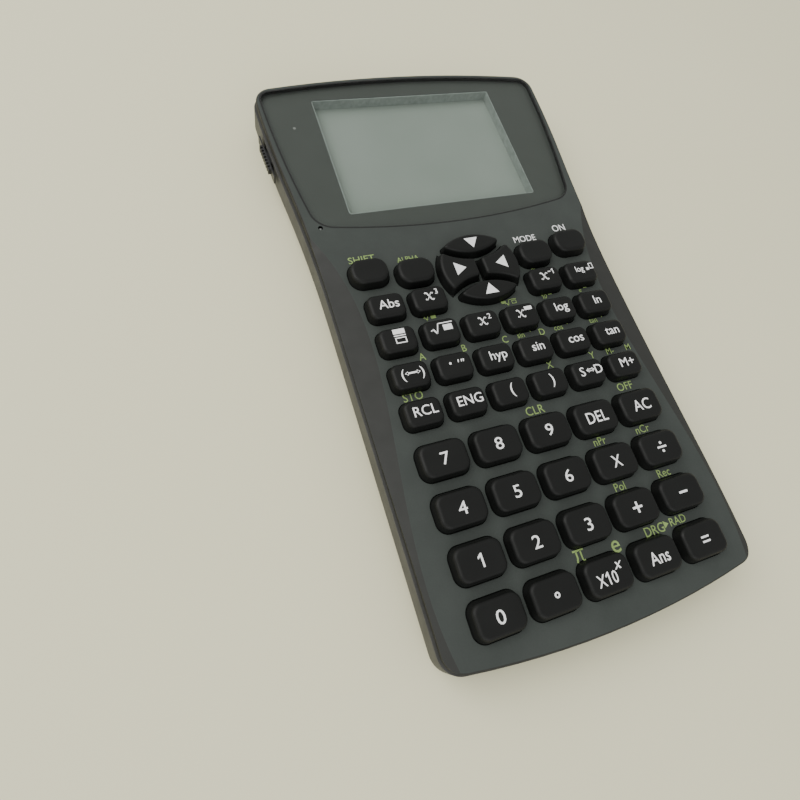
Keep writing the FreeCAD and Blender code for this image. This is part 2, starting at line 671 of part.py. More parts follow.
def facet_sketch(body, name, along, inner):
    """Section of the wedge cut from the panel's right edge, at one distance along the case."""
    sketch = new_sketch(body, name, lift=f"-({along})", role="XZ_Plane")
    top = size("panel_top") - size("plate_under")
    inner_across = value_of(inner)
    slope = size("facet_drop") / (size("side_half") - size("facet_foot"))
    far = size("side_half") + 4 * size("wall")
    low = top - size("facet_drop") - slope * (far - size("side_half"))
    corners = [Vector(inner_across, top, 0), Vector(far, low, 0), Vector(far, top + size("wall"), 0),
               Vector(inner_across, top + size("wall"), 0)]
    sides = [Part.LineSegment(corners[index - 1], corners[index]) for index in (1, 2, 3, 0)]
    sketch.addGeometry(sides, False)
    sketch.addConstraint([Sketcher.Constraint("Coincident", index, 2, (index + 1) % 4, 1)
                          for index in range(4)])
    sketch.addConstraint([Sketcher.Constraint("Vertical", 1), Sketcher.Constraint("Horizontal", 2),
                          Sketcher.Constraint("Vertical", 3)])
    drive(sketch, Sketcher.Constraint("DistanceX", *ORIGIN, 0, 1, inner_across), inner)
    drive(sketch, Sketcher.Constraint("DistanceY", *ORIGIN, 0, 1, top), SHELL_THICK)
    drive(sketch, Sketcher.Constraint("DistanceY", 3, 2, 3, 1, size("wall")), "dims.wall")
    drive(sketch, Sketcher.Constraint("DistanceX", *ORIGIN, 1, 1, far), "dims.side_half + 4 * dims.wall")
    drive(sketch, Sketcher.Constraint("DistanceY", *ORIGIN, 1, 1, low),
          f"{SHELL_THICK}"
          " - dims.facet_drop * (1 + 4 * dims.wall / (dims.side_half - dims.facet_foot))")
    return sketch


def cut_facets(body):
    """Slope the panel's two long edges down, along a line that runs outwards near the display."""
    stations = (("facet_low", "-1.1 * dims.base_low", "dims.facet_foot"),
                ("facet_middle", "dims.small_first", "dims.facet_waist"),
                ("facet_high", "dims.pad_along + dims.pad_radius", "dims.facet_neck"),
                ("facet_end", "dims.lens_low + 2 * dims.lens_thick", "dims.facet_tip"))
    sections = [facet_sketch(body, *station) for station in stations]
    wedge = body.newObject("PartDesign::SubtractiveLoft", "facet")
    wedge.Profile = sections[0]
    wedge.Sections = sections[1:]
    wedge.Ruled = False
    return grid(body, [wedge], mirror=True)


def add_lens_outline(sketch, offset="0"):
    """The flush lens, widened by offset, with arcs for its sides, its upper edge and its lower edge."""
    side_radius = size("lens_side_radius")
    crown_radius = size("crown_radius") + size("lens_high") - size("crown_high")
    base_radius = size("lens_base_radius")
    side = Vector(size("lens_half") - side_radius, size("lens_widest"), 0)
    crown = Vector(0, size("crown_high") - size("crown_radius"), 0)
    base = Vector(0, size("lens_low") + base_radius, 0)
    upper = meeting(side, side_radius - size("lens_crown_corner"),
                    crown, crown_radius - size("lens_crown_corner"), False)
    lower = meeting(side, side_radius - size("lens_base_corner"),
                    base, base_radius - size("lens_base_corner"), True)
    grow = value_of(offset)
    joints = [towards(side, lower, side_radius + grow), towards(side, upper, side_radius + grow),
              towards(crown, upper, crown_radius + grow), towards(base, lower, base_radius + grow)]
    others = [mirrored(point) for point in joints]
    loop = [(side, joints[0], joints[1]), (upper, joints[1], joints[2]), (crown, joints[2], others[2]),
            (mirrored(upper), others[2], others[1]), (mirrored(side), others[1], others[0]),
            (mirrored(lower), others[0], others[3]), (base, others[3], joints[3]),
            (lower, joints[3], joints[0])]
    first = sketch.GeometryCount
    for centre, start, end in loop:
        sketch.addGeometry(arc_between(centre, start, end)[0], False)
    for index in range(len(loop)):
        sketch.addConstraint(Sketcher.Constraint("Tangent", first + index, 2,
                                                 first + (index + 1) % len(loop), 1))
    right, top_right, top, top_left, left, low_left, low, low_right = range(first, first + len(loop))
    sketch.addConstraint([Sketcher.Constraint("PointOnObject", top, 3, *UPRIGHT_AXIS),
                          Sketcher.Constraint("PointOnObject", low, 3, *UPRIGHT_AXIS)])
    across = "dims.lens_side_radius - dims.lens_half"
    drive(sketch, Sketcher.Constraint("DistanceX", right, 3, *ORIGIN, -side.x), across)
    drive(sketch, Sketcher.Constraint("DistanceX", *ORIGIN, left, 3, -side.x), across)
    for arc in (right, left):
        drive(sketch, Sketcher.Constraint("DistanceY", *ORIGIN, arc, 3, side.y), "dims.lens_widest")
    radii = {right: "dims.lens_side_radius", left: "dims.lens_side_radius",
             top_right: "dims.lens_crown_corner", top_left: "dims.lens_crown_corner",
             low_right: "dims.lens_base_corner", low_left: "dims.lens_base_corner",
             top: "dims.crown_radius + dims.lens_high - dims.crown_high", low: "dims.lens_base_radius"}
    for arc, radius in radii.items():
        drive(sketch, Sketcher.Constraint("Radius", arc, sketch.Geometry[arc].Radius),
              f"{radius} + ({offset})")
    drive(sketch, Sketcher.Constraint("DistanceY", top, 3, *ORIGIN, -crown.y),
          "dims.crown_radius - dims.crown_high")
    drive(sketch, Sketcher.Constraint("DistanceY", *ORIGIN, low, 3, base.y),
          "dims.lens_low + dims.lens_base_radius")


def open_keys(body):
    """Cut an opening for every key through the front shell."""
    gap = "2 * dims.key_gap"
    through = f"2 * ({SHELL_THICK})"
    lower = f"-0.5 * ({SHELL_THICK})"

    def opening(name, kind, across, along):
        sketch = new_sketch(body, name, across, along, lower)
        add_rectangle(sketch, f"dims.{kind}_wide + {gap}", f"dims.{kind}_long + {gap}",
                      f"dims.{kind}_corner + dims.key_gap")
        return pocket(body, sketch, through, reverse=True)

    grid(body, [opening("digit_opening", "digit", DIGIT_LEFT, "dims.digit_first")], **DIGIT_GRID)
    grid(body, [opening("small_opening", "small", SMALL_LEFT, "dims.small_first")], **SMALL_GRID)
    grid(body, [opening("last_opening", "small", SMALL_LEFT, SMALL_LAST)],
         across=("dims.small_step_across", 2), mirror=True)
    grid(body, [opening("outer_opening", "mode", "-dims.mode_outer", "dims.mode_outer_along"),
                opening("inner_opening", "mode", "-dims.mode_inner", "dims.mode_inner_along")], mirror=True)
    for side, name in ((1, "upper"), (-1, "lower")):
        almond = new_sketch(body, f"{name}_cursor_opening", "0",
                            f"dims.pad_along + {side} * dims.pad_reach", lower)
        add_almond(almond, "dims.key_gap")
        pocket(body, almond, through, reverse=True)
    for side, name in ((-1, "left"), (1, "right")):
        sketch = new_sketch(body, f"{name}_cursor_opening", "0", "dims.pad_along", lower)
        add_side_cursor(sketch, side, "dims.key_gap")
        pocket(body, sketch, through, reverse=True)


def screw_columns(body, features):
    """Repeat features at the three rows and two sides of the case screws."""
    return grid(body, features, across=("2 * dims.screw_across", 2), along=("dims.screw_step", 3))


def front_case():
    """Panel with key openings, lens recess and window, a lip that enters the rear shell, screw bosses."""
    body = new_body("front_case", "dims.plate_under")
    outline = new_sketch(body, "panel_outline")
    add_outline(outline, "0")
    panel = pad(body, outline, SHELL_THICK)
    fillet(body, panel, level_edges(panel, value_of(SHELL_THICK)), "dims.panel_round")
    cut_facets(body)
    lip = new_sketch(body, "lip_outline")
    lip_outer = "dims.rear_spread - dims.wall - dims.lip_gap"
    add_outline(lip, lip_outer)
    add_outline(lip, f"{lip_outer} - dims.lip_wall")
    pad(body, lip, "dims.lip_deep", reverse=True)
    boss = new_sketch(body, "boss_outline", "-dims.screw_across", "dims.screw_first")
    add_circle(boss, "dims.boss_radius")
    boss_deep = "dims.plate_under - dims.board_top - 2 * dims.key_gap"
    screw_columns(body, [pad(body, boss, boss_deep, reverse=True)])
    pilot = new_sketch(body, "pilot_outline", "-dims.screw_across", "dims.screw_first", f"-({boss_deep})")
    add_circle(pilot, "dims.pilot_radius")
    screw_columns(body, [pocket(body, pilot, boss_deep, reverse=True)])
    skirt = new_sketch(body, "skirt_outline", "0", "dims.window_mid")
    add_rectangle(skirt, "dims.window_wide + 2 * dims.skirt_wall",
                  "dims.window_long + 2 * dims.skirt_wall", "dims.window_round + dims.skirt_wall")
    pad(body, skirt, "dims.skirt_deep", reverse=True)
    recess = new_sketch(body, "recess_outline", lift=SHELL_THICK)
    add_lens_outline(recess, "dims.lens_gap")
    pocket(body, recess, "dims.lens_thick + dims.lens_gap / 2")
    window = new_sketch(body, "window_outline", "0", "dims.window_mid", "-2 * dims.skirt_deep")
    add_rectangle(window, "dims.window_wide", "dims.window_long", "dims.window_round")
    pocket(body, window, f"2 * dims.skirt_deep + 2 * ({SHELL_THICK})", reverse=True)
    open_keys(body)
    notch = new_sketch(body, "switch_notch", "-dims.side_half", "dims.slot_along")
    add_rectangle(notch, "6 * dims.wall", "dims.slot_long + 2 * dims.wall")
    pocket(body, notch, "2 * dims.lip_deep")
    sound_hole = new_sketch(body, "sound_hole_outline", "-dims.sound_across", "dims.sound_along",
                            f"-0.5 * ({SHELL_THICK})")
    add_circle(sound_hole, "dims.sound_radius")
    pocket(body, sound_hole, f"2 * ({SHELL_THICK})", reverse=True)
    return body


def display_lens():
    """Clear cover with a printed border, flush in its recess."""
    body = new_body("display_lens", "dims.panel_top - dims.lens_thick")
    outline = new_sketch(body, "lens_outline")
    add_lens_outline(outline)
    pad(body, outline, "dims.lens_thick")
    return body


# ---- rear shell ----

def rear_case():
    """Open tub with a rounded underside, screw posts, a battery bay, a switch slot and four feet."""
    body = new_body("rear_case", "dims.rear_skin")
    outline = new_sketch(body, "tub_outline")
    add_outline(outline, "dims.rear_spread")
    tub = pad(body, outline, "dims.rear_rim - dims.rear_skin")
    rounded = fillet(body, tub, level_edges(tub, 0), "dims.rear_round")
    top = value_of("dims.rear_rim - dims.rear_skin")
    doc.recompute()
    open_face = next(f"Face{index}" for index, face in enumerate(rounded.Shape.Faces, start=1)
                     if face.BoundBox.ZMin > top - 1e-4)
    shell = body.newObject("PartDesign::Thickness", "tub_wall")
    shell.Base = (rounded, [open_face])
    shell.Reversed = True
    bind(shell, Value="dims.wall")
    post = new_sketch(body, "post_outline", "-dims.screw_across", "dims.screw_first", "dims.post_low")
    add_circle(post, "dims.post_radius")
    wide_post = pad(body, post, "dims.post_high - dims.post_low")
    neck = new_sketch(body, "neck_outline", "-dims.screw_across", "dims.screw_first", "dims.post_high")
    add_circle(neck, "dims.boss_radius")
    slim_post = pad(body, neck, "dims.board_top - dims.rear_skin - dims.post_high")
    screw_columns(body, [wide_post, slim_post])
    sink = new_sketch(body, "sink_outline", "-dims.screw_across", "dims.screw_first")
    add_circle(sink, "dims.sink_radius")
    bore = new_sketch(body, "bore_outline", "-dims.screw_across", "dims.screw_first")
    add_circle(bore, "dims.shank_radius + dims.key_gap")
    screw_columns(body, [pocket(body, sink, "dims.sink_deep", reverse=True),
                         pocket(body, bore, "dims.board_top", reverse=True)])
    bay = new_sketch(body, "bay_outline", "0", "dims.cell_along", "dims.wall / 2")
    inner_wide = "dims.cell_wide + 2 * dims.bay_gap"
    inner_long = "dims.cell_long + 2 * dims.bay_gap"
    add_rectangle(bay, f"{inner_wide} + 2 * dims.bay_wall", f"{inner_long} + 2 * dims.bay_wall",
                  "2 * dims.bay_wall")
    pad(body, bay, "dims.bay_high - dims.wall / 2")
    hollow = new_sketch(body, "bay_hollow", "0", "dims.cell_along", "-dims.wall")
    add_rectangle(hollow, inner_wide, inner_long, "dims.bay_wall")
    pocket(body, hollow, "dims.bay_high + 2 * dims.wall", reverse=True)
    rebate = new_sketch(body, "hatch_rebate", "0", "dims.cell_along")
    add_rectangle(rebate, f"{inner_wide} + 2 * dims.hatch_ledge", f"{inner_long} + 2 * dims.hatch_ledge",
                  "2 * dims.bay_wall")
    pocket(body, rebate, "dims.hatch_edge", reverse=True)
    slot = new_sketch(body, "switch_slot", "dims.slot_along", "dims.switch_level - dims.rear_skin",
                      "-dims.side_half", role="YZ_Plane")
    add_rectangle(slot, "dims.slot_long", "dims.slot_high", "dims.slot_high / 4")
    pocket(body, slot, "4 * dims.wall")
    foot = new_sketch(body, "foot_outline", "-dims.foot_across", "-dims.foot_along")
    add_circle(foot, "dims.foot_radius")
    grid(body, [pad(body, foot, "dims.rear_skin", reverse=True)],
         across=("2 * dims.foot_across", 2), along=("2 * dims.foot_along", 2))
    return body


def battery_cover():
    """Hatch whose thin edge lies against the ledge round the battery bay."""
    body = new_body("battery_cover", "dims.rear_skin", "0", "dims.cell_along")
    inner_wide = "dims.cell_wide + 2 * dims.bay_gap - 2 * dims.hatch_gap"
    inner_long = "dims.cell_long + 2 * dims.bay_gap - 2 * dims.hatch_gap"
    edge = new_sketch(body, "edge_outline")
    add_rectangle(edge, f"{inner_wide} + 2 * dims.hatch_ledge", f"{inner_long} + 2 * dims.hatch_ledge",
                  "2 * dims.bay_wall - dims.hatch_gap")
    pad(body, edge, "dims.hatch_edge - dims.hatch_gap / 2")
    plug = new_sketch(body, "plug_outline")
    add_rectangle(plug, inner_wide, inner_long, "dims.bay_wall - dims.hatch_gap")
    pad(body, plug, "dims.wall")
    groove = new_sketch(body, "grip_outline", "0", "-dims.grip_along", "-dims.wall")
    add_rectangle(groove, "dims.cell_wide / 3", "dims.hatch_edge")
    ridge = pocket(body, groove, "dims.wall + dims.hatch_edge / 2", reverse=True)
    grid(body, [ridge], along=("2 * dims.hatch_edge", 5))
    return body


def battery_pack():
    """Flat rechargeable cell that lies on the cover, inside the bay."""
    body = new_body("battery_pack", "dims.rear_skin + dims.wall + dims.hatch_gap", "0", "dims.cell_along")
    face = new_sketch(body, "cell_outline")
    add_rectangle(face, "dims.cell_wide", "dims.cell_long", "dims.bay_wall")
    cell = pad(body, face, "dims.cell_thick")
    fillet(body, cell, level_edges(cell, 0) + level_edges(cell, size("cell_thick")), "dims.cell_thick / 4")
    return body


def case_screws():
    """Six self-tapping screws that go up through the rear posts into the front bosses."""
    level = "dims.rear_skin + dims.sink_deep - dims.head_high"
    body = new_body("case_screws", level)
    body.AllowCompound = True
    head = new_sketch(body, "head_outline", "-dims.screw_across", "dims.screw_first")
    add_circle(head, "dims.head_radius")
    shank = new_sketch(body, "shank_outline", "-dims.screw_across", "dims.screw_first")
    add_circle(shank, "dims.shank_radius")
    drive_slot = new_sketch(body, "drive_outline", "-dims.screw_across", "dims.screw_first")
    add_rectangle(drive_slot, "dims.head_radius", "dims.head_radius / 4")
    drive_cross = new_sketch(body, "drive_cross_outline", "-dims.screw_across", "dims.screw_first")
    add_rectangle(drive_cross, "dims.head_radius / 4", "dims.head_radius")
    screw_columns(body, [pad(body, head, "dims.head_high"),
                         pad(body, shank, f"dims.plate_under - 2 * dims.key_gap - ({level})"),
                         pocket(body, drive_slot, "dims.head_high / 2", reverse=True),
                         pocket(body, drive_cross, "dims.head_high / 2", reverse=True)])
    return body


def side_switch():
    """Ribbed slider on a plate outside the left wall, with a neck in the slot and a tongue behind it."""
    wall_across = "(dims.side_half + dims.rear_spread + dims.switch_stand)"
    body = new_body("side_switch", "dims.switch_level", f"-{wall_across}", "dims.switch_along")
    body.Placement.Rotation = FreeCAD.Rotation(Vector(0, 0, 1), value_of("dims.switch_turn"))
    bind(body, Placement__Rotation__Angle="dims.switch_turn")

    def block(name, start, wide, high, deep):
        sketch = new_sketch(body, name, lift=start, role="YZ_Plane")
        add_rectangle(sketch, wide, high, f"({high}) / 5")
        pad(body, sketch, deep)

    behind = "dims.wall + dims.apron_gap"
    block("apron_outline", "-dims.apron_out", "dims.apron_long", "dims.apron_high",
          "dims.apron_out - dims.apron_gap")
    block("knob_outline", "-dims.knob_out", "dims.switch_long", "dims.switch_high",
          "dims.knob_out - dims.apron_gap")
    block("neck_outline", "-dims.apron_out", "dims.neck_long", "dims.slot_high - 2 * dims.neck_gap",
          f"dims.apron_out + {behind} + dims.tongue_thick")
    block("tongue_outline", behind, "dims.tongue_long", "dims.apron_high", "dims.tongue_thick")
    block("finger_outline", behind, "dims.switch_long / 3", "dims.switch_high / 2", "dims.finger_deep")
    rib = new_sketch(body, "rib_gap", "-3 * dims.switch_long / 8", "0", "-2 * dims.knob_out",
                     role="YZ_Plane")
    add_rectangle(rib, "dims.knob_rib", "2 * dims.switch_high")
    gap = pocket(body, rib, "2 * dims.knob_out - dims.apron_out", reverse=True)
    grid(body, [gap], along=("dims.switch_long / 8", 7))
    return body


# ---- inner parts ----

def key_membrane():
    """Silicone sheet with one dome under each key."""
    body = new_body("key_membrane", "dims.board_top")
    centre = "(dims.sheet_high + dims.sheet_low) / 2"
    face = new_sketch(body, "sheet_outline", "0", centre)
    add_rectangle(face, "dims.sheet_wide", "dims.sheet_high - dims.sheet_low", "dims.dome_radius")
    pad(body, face, "dims.sheet_thick")

    def dome(name, across, along):
        sketch = new_sketch(body, name, across, along, "dims.sheet_thick / 2")
        add_circle(sketch, "dims.dome_radius")
        return pad(body, sketch, "dims.sheet_thick / 2 + dims.dome_high", taper="-dims.dome_taper")

    grid(body, [dome("digit_dome", DIGIT_LEFT, "dims.digit_first")], **DIGIT_GRID)
    grid(body, [dome("small_dome", SMALL_LEFT, "dims.small_first")], **SMALL_GRID)
    grid(body, [dome("last_dome", SMALL_LEFT, SMALL_LAST)],
         across=("dims.small_step_across", 2), mirror=True)
    grid(body, [dome("outer_dome", "-dims.mode_outer", "dims.mode_outer_along"),
                dome("inner_dome", "-dims.mode_inner", "dims.mode_inner_along")], mirror=True)
    dome("upper_dome", "0", "dims.pad_along + dims.pad_reach")
    dome("lower_dome", "0", "dims.pad_along - dims.pad_reach")
    grid(body, [dome("side_dome", "-dims.pad_radius / 2", "dims.pad_along")], mirror=True)
    return body


def box(label, wide, long, high, across, along, level):
    """A block with its middle at the given place and its underside at the given level."""
    block = doc.addObject("Part::Box", label)
    bind(block, Length=wide, Width=long, Height=high, Placement__Base__x=f"({across}) - ({wide}) / 2",
         Placement__Base__y=f"({along}) - ({long}) / 2", Placement__Base__z=level)
    return block


def group(label, members):
    """Separate solids that are soldered or bonded together as one piece."""
    compound = doc.addObject("Part::Compound", label)
    compound.Label = label
    compound.Links = members
    return compound


def circuit_board():
    """Stepped board with its chips, crystal, lamp, microphone, slide switch base and connectors."""
    board = new_body("bare_board", "dims.board_under")
    narrow = new_sketch(board, "board_outline", "0", "(dims.board_high + dims.board_low) / 2")
    add_rectangle(narrow, "2 * dims.board_half", "dims.board_high - dims.board_low", "dims.wall")
    thick = "dims.board_top - dims.board_under"
    pad(board, narrow, thick)
    wide = new_sketch(board, "wing_outline", "0", "(dims.board_step_high + dims.board_step) / 2")
    add_rectangle(wide, "2 * dims.board_half_wide", "dims.board_step_high - dims.board_step", "dims.wall")
    pad(board, wide, thick)
    below = "dims.board_under - {}"
    chips = [("processor", "14", "14", "1.1", "0", "-42"), ("memory", "8", "6", "0.9", "18", "-42"),
             ("crystal", "3.2", "1.5", "0.8", "-14", "-36"), ("regulator", "3", "3", "0.9", "-18", "-50"),
             ("charger", "4", "4", "0.9", "27", "-4"), ("battery_socket", "5", "4", "2.2", "-27", "20"),
             ("display_driver", "16", "3", "0.9", "0", "52")]
    parts = [box(name, wide_mm, long_mm, high_mm, across, along, below.format(high_mm))
             for name, wide_mm, long_mm, high_mm, across, along in chips]
    parts.append(box("lamp", "1.6", "1.6", "0.7", "-34.2", "62.5", "dims.board_top"))
    parts.append(box("microphone", "2.6", "2.6", "1.0", "-34.4", "dims.sound_along", "dims.board_top"))
    parts.append(box("switch_base", "dims.wall", "dims.slot_long", "dims.switch_high",
                     "-dims.board_half_wide + dims.wall / 2", "dims.slot_along", "dims.board_top"))
    return group("circuit_board", [board] + parts)


def lcd_module():
    """Display glass on its backlight tray, with a flat connector to the board."""
    tray_level = "dims.plate_under - dims.skirt_deep - dims.lens_gap - dims.glass_thick - dims.tray_thick"
    tray = box("backlight_tray", "dims.glass_wide", "dims.glass_long", "dims.tray_thick", "0",
               "dims.window_mid", tray_level)
    glass = box("display_glass", "dims.glass_wide", "dims.glass_long", "dims.glass_thick", "0",
                "dims.window_mid", f"{tray_level} + dims.tray_thick")
    ribbon = box("ribbon", "dims.glass_wide / 3", "dims.ribbon_long", "dims.tray_thick / 4", "0",
                 "dims.window_mid - dims.glass_long / 2 - dims.ribbon_long / 2", "dims.board_top")
    return group("lcd_module", [tray, glass, ribbon])


# ---- build, check and write ----

PARTS = [front_case(), rear_case(), display_lens(), lcd_module(), circuit_board(), key_membrane(),
         battery_pack(), battery_cover(), case_screws(), side_switch()]
PARTS += digit_keys() + small_keys() + mode_keys() + cursor_keys()
doc.recompute()

for thing in doc.Objects:
    if "Invalid" in thing.State or "Error" in thing.State:
        raise RuntimeError(f"{thing.Label}: {thing.State}")
    if thing.isDerivedFrom("Sketcher::SketchObject") and not thing.FullyConstrained:
        raise RuntimeError(f"{thing.Label} is loose")

for part in PARTS:
    if part.Shape.isNull() or not part.Shape.isValid():
        raise RuntimeError(f"{part.Label} has no valid shape")

for part in PARTS:
    part.Shape.exportStep(f"parts/{part.Label}.step")
    print(part.Label, len(part.Shape.Solids), round(part.Shape.Volume, 1), part.Shape.BoundBox)
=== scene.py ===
import math

import bmesh
import bpy
from mathutils import Matrix, Vector


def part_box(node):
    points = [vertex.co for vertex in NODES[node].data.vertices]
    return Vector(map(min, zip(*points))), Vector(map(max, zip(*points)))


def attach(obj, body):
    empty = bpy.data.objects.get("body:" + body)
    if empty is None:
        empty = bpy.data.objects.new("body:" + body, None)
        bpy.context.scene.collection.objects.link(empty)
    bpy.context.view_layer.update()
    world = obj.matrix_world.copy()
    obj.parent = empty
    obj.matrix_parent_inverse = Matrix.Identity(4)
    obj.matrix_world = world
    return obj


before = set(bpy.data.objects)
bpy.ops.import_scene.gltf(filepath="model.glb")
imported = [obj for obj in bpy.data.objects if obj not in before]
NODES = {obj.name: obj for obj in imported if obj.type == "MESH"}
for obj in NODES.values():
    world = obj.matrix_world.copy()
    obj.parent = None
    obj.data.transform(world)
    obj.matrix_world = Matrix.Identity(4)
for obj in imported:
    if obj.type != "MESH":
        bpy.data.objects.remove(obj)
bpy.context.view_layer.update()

# A pocket calculator with a large flush display. The shells, keys, lens and inner parts are the frame's
# own nodes; this script gives them their materials, prints the legends, and adds the display's layers.

MM = 0.001
SCENE = bpy.context.scene
SHARP_ANGLE = math.radians(28)
RUBBED_LIGHTER = 2.2


# ---- materials ----

class Shader:
    """A node material being put together. Patterns are in metres, in the frame's own axes."""

    def __init__(self, name):
        self.material = bpy.data.materials.new(name)
        self.material.use_nodes = True
        self.tree = self.material.node_tree
        self.surface = self.tree.nodes["Principled BSDF"]
        self.place = self.add("ShaderNodeTexCoord").outputs["Object"]

    def add(self, kind, inputs=None, **settings):
        """One node, with its settings, and its inputs either linked or set."""
        node = self.tree.nodes.new(kind)
        for name, value in settings.items():
            setattr(node, name, value)
        self.feed(node, inputs or {})
        return node

    def feed(self, node, inputs):
        for name, value in inputs.items():
            if isinstance(value, bpy.types.NodeSocket):
                self.tree.links.new(value, node.inputs[name])
            else:
                node.inputs[name].default_value = value

    def noise(self, size, detail=2.0, rough=0.5):
        """Smooth noise from 0 to 1 whose blots are about size across."""
        node = self.add("ShaderNodeTexNoise", {"Vector": self.place, "Scale": 1.0 / size, "Detail": detail,
                                               "Roughness": rough})
        return node.outputs["Fac"]

    def grain(self, size):
        """Pebbled moulding texture, 0 between pebbles and 1 on them."""
        node = self.add("ShaderNodeTexVoronoi", feature="SMOOTH_F1",
                        inputs={"Vector": self.place, "Scale": 1.0 / size, "Randomness": 1.0})
        return node.outputs["Distance"]

    def remap(self, value, start, end, low, high):
        """Carry a value's range from start to end over to the range from low to high."""
        node = self.add("ShaderNodeMapRange", {"Value": value, "From Min": start, "From Max": end,
                                               "To Min": low, "To Max": high})
        return node.outputs["Result"]

    def mix(self, factor, first, second):
        """First colour where factor is 0, second where it is 1."""
        node = self.add("ShaderNodeMix", data_type="RGBA")
        for index, value in ((0, factor), (6, first), (7, second)):
            if isinstance(value, bpy.types.NodeSocket):
                self.tree.links.new(value, node.inputs[index])
            else:
                node.inputs[index].default_value = value
        return node.outputs[2]

    def maths(self, operation, first, second=0.0):
        node = self.add("ShaderNodeMath", operation=operation)
        self.feed(node, {0: first, 1: second})
        return node.outputs[0]

    def edges(self, radius):
        """About 1 along outer and inner edges of the shape, 0 on its faces."""
        soft = self.add("ShaderNodeBevel", {"Radius": radius}, samples=4).outputs["Normal"]
        plain = self.add("ShaderNodeNewGeometry").outputs["Normal"]
        match = self.add("ShaderNodeVectorMath", {0: soft, 1: plain}, operation="DOT_PRODUCT")
        return self.remap(match.outputs["Value"], 0.98, 0.80, 0.0, 1.0)

    def level(self):
        """How level a face lies on the object: 1 where it faces up or down, 0 where it stands upright."""
        normal = self.add("ShaderNodeTexCoord").outputs["Normal"]
        upward = self.add("ShaderNodeSeparateXYZ", {0: normal}).outputs["Z"]
        return self.maths("ABSOLUTE", upward)

    def bump(self, height, strength, depth, base=None):
        """Normals of a surface raised by height, over the base normals if given."""
        inputs = {"Height": height, "Strength": strength, "Distance": depth}
        if base:
            inputs["Normal"] = base
        return self.add("ShaderNodeBump", inputs).outputs["Normal"]

    def rounded(self, radius):
        """Normals that run smoothly over edges, as on a moulded part."""
        return self.add("ShaderNodeBevel", {"Radius": radius}, samples=6).outputs["Normal"]

    def finish(self, **inputs):
        """Set the surface, with spaces in input names written as underscores."""
        self.feed(self.surface, {name.replace("_", " "): value for name, value in inputs.items()})
        return self.material


def rgb(red, green, blue, alpha=1.0):
    """A colour from 0 to 255 display values, as the linear values that shaders take."""
    def linear(value):
        share = value / 255.0
        return share / 12.92 if share <= 0.04045 else ((share + 0.055) / 1.055) ** 2.4
    return (linear(red), linear(green), linear(blue), alpha)


def moulded(name, dark, light, rough, pebble, depth, edge_radius=0.15 * MM, edge_light=0.25, painted_side_shade=None,
            specular=0.5):
    """Moulded plastic: uneven tone, pebbled surface, softly rounded edges that are a little polished.

    The side colours are painted shade: the first darkens faces that slope a little, the second, much
    darker, faces that stand upright, as if they were turned from the light.
    """
    shader = Shader(name)
    tone = shader.noise(9 * MM, 4.0, 0.6)
    fine = shader.noise(0.35 * MM, 2.0)
    blend = shader.maths("ADD", shader.maths("MULTIPLY", tone, 0.7), shader.maths("MULTIPLY", fine, 0.3))
    colour = shader.mix(shader.remap(blend, 0.35, 0.65, 0.0, 1.0), dark, light)
    # painted shade: sloping and upright faces take darker colours, standing in for light falling away from
    # them
    if painted_side_shade:
        level = shader.level()
        colour = shader.mix(shader.remap(level, 0.999, 0.988, 0.0, 1.0), colour, painted_side_shade[0])
        colour = shader.mix(shader.remap(level, 0.9, 0.6, 0.0, 1.0), colour, painted_side_shade[1])
    edge = shader.edges(edge_radius)
    polished = [min(1, RUBBED_LIGHTER * c) for c in light]
    colour = shader.mix(shader.maths("MULTIPLY", edge, edge_light), colour, polished)
    gloss = shader.remap(shader.noise(4 * MM, 3.0), 0.3, 0.7, rough - 0.05, rough + 0.05)
    gloss = shader.maths("SUBTRACT", gloss, shader.maths("MULTIPLY", edge, 0.08))
    surface = shader.bump(shader.grain(pebble), 0.5, depth, shader.rounded(edge_radius))
    return shader.finish(Base_Color=colour, Roughness=gloss, Normal=surface, IOR=1.5,
                         Specular_IOR_Level=specular)


def clear_lens():
    """Hard-coated acrylic, clear but for its reflections."""
    shader = Shader("clear_lens")
    smear = shader.remap(shader.noise(14 * MM, 3.0), 0.45, 0.75, 0.03, 0.10)
    gloss = shader.add("ShaderNodeBsdfGlossy", {"Color": (1, 1, 1, 1), "Roughness": smear})
    clear = shader.add("ShaderNodeBsdfTransparent", {"Color": (0.93, 0.95, 0.94, 1)})
    slant = shader.add("ShaderNodeLayerWeight", {"Blend": 0.5}).outputs["Facing"]
    sheen = shader.maths("ADD", shader.maths("MULTIPLY", shader.maths("POWER", slant, 5.0), 0.9), 0.008)
    mix = shader.add("ShaderNodeMixShader", {0: sheen, 1: clear.outputs[0], 2: gloss.outputs[0]})
    output = shader.tree.nodes["Material Output"]
    shader.tree.links.new(mix.outputs[0], output.inputs["Surface"])
    return shader.material


def display_cell():
    """Unlit liquid crystal panel: grey green, with a faint dot grid and uneven backing."""
    shader = Shader("display_cell")
    split = shader.add("ShaderNodeSeparateXYZ", {0: shader.place})
    dot = 0.28 * MM
    columns = shader.maths("PINGPONG", split.outputs["X"], dot / 2)
    rows = shader.maths("PINGPONG", split.outputs["Y"], dot / 2)
    gap = shader.remap(shader.maths("MINIMUM", columns, rows), 0.0, 0.03 * MM, 1.0, 0.0)
    tone = shader.mix(shader.remap(shader.noise(22 * MM, 2.0), 0.3, 0.7, 0, 1), rgb(140, 147, 140),
                      rgb(147, 153, 147))
    colour = shader.mix(shader.maths("MULTIPLY", gap, 0.16), tone, rgb(118, 125, 119))
    haze = shader.bump(shader.noise(0.5 * MM), 0.15, 0.01 * MM)
    return shader.finish(Base_Color=colour, Roughness=0.35, Normal=haze)


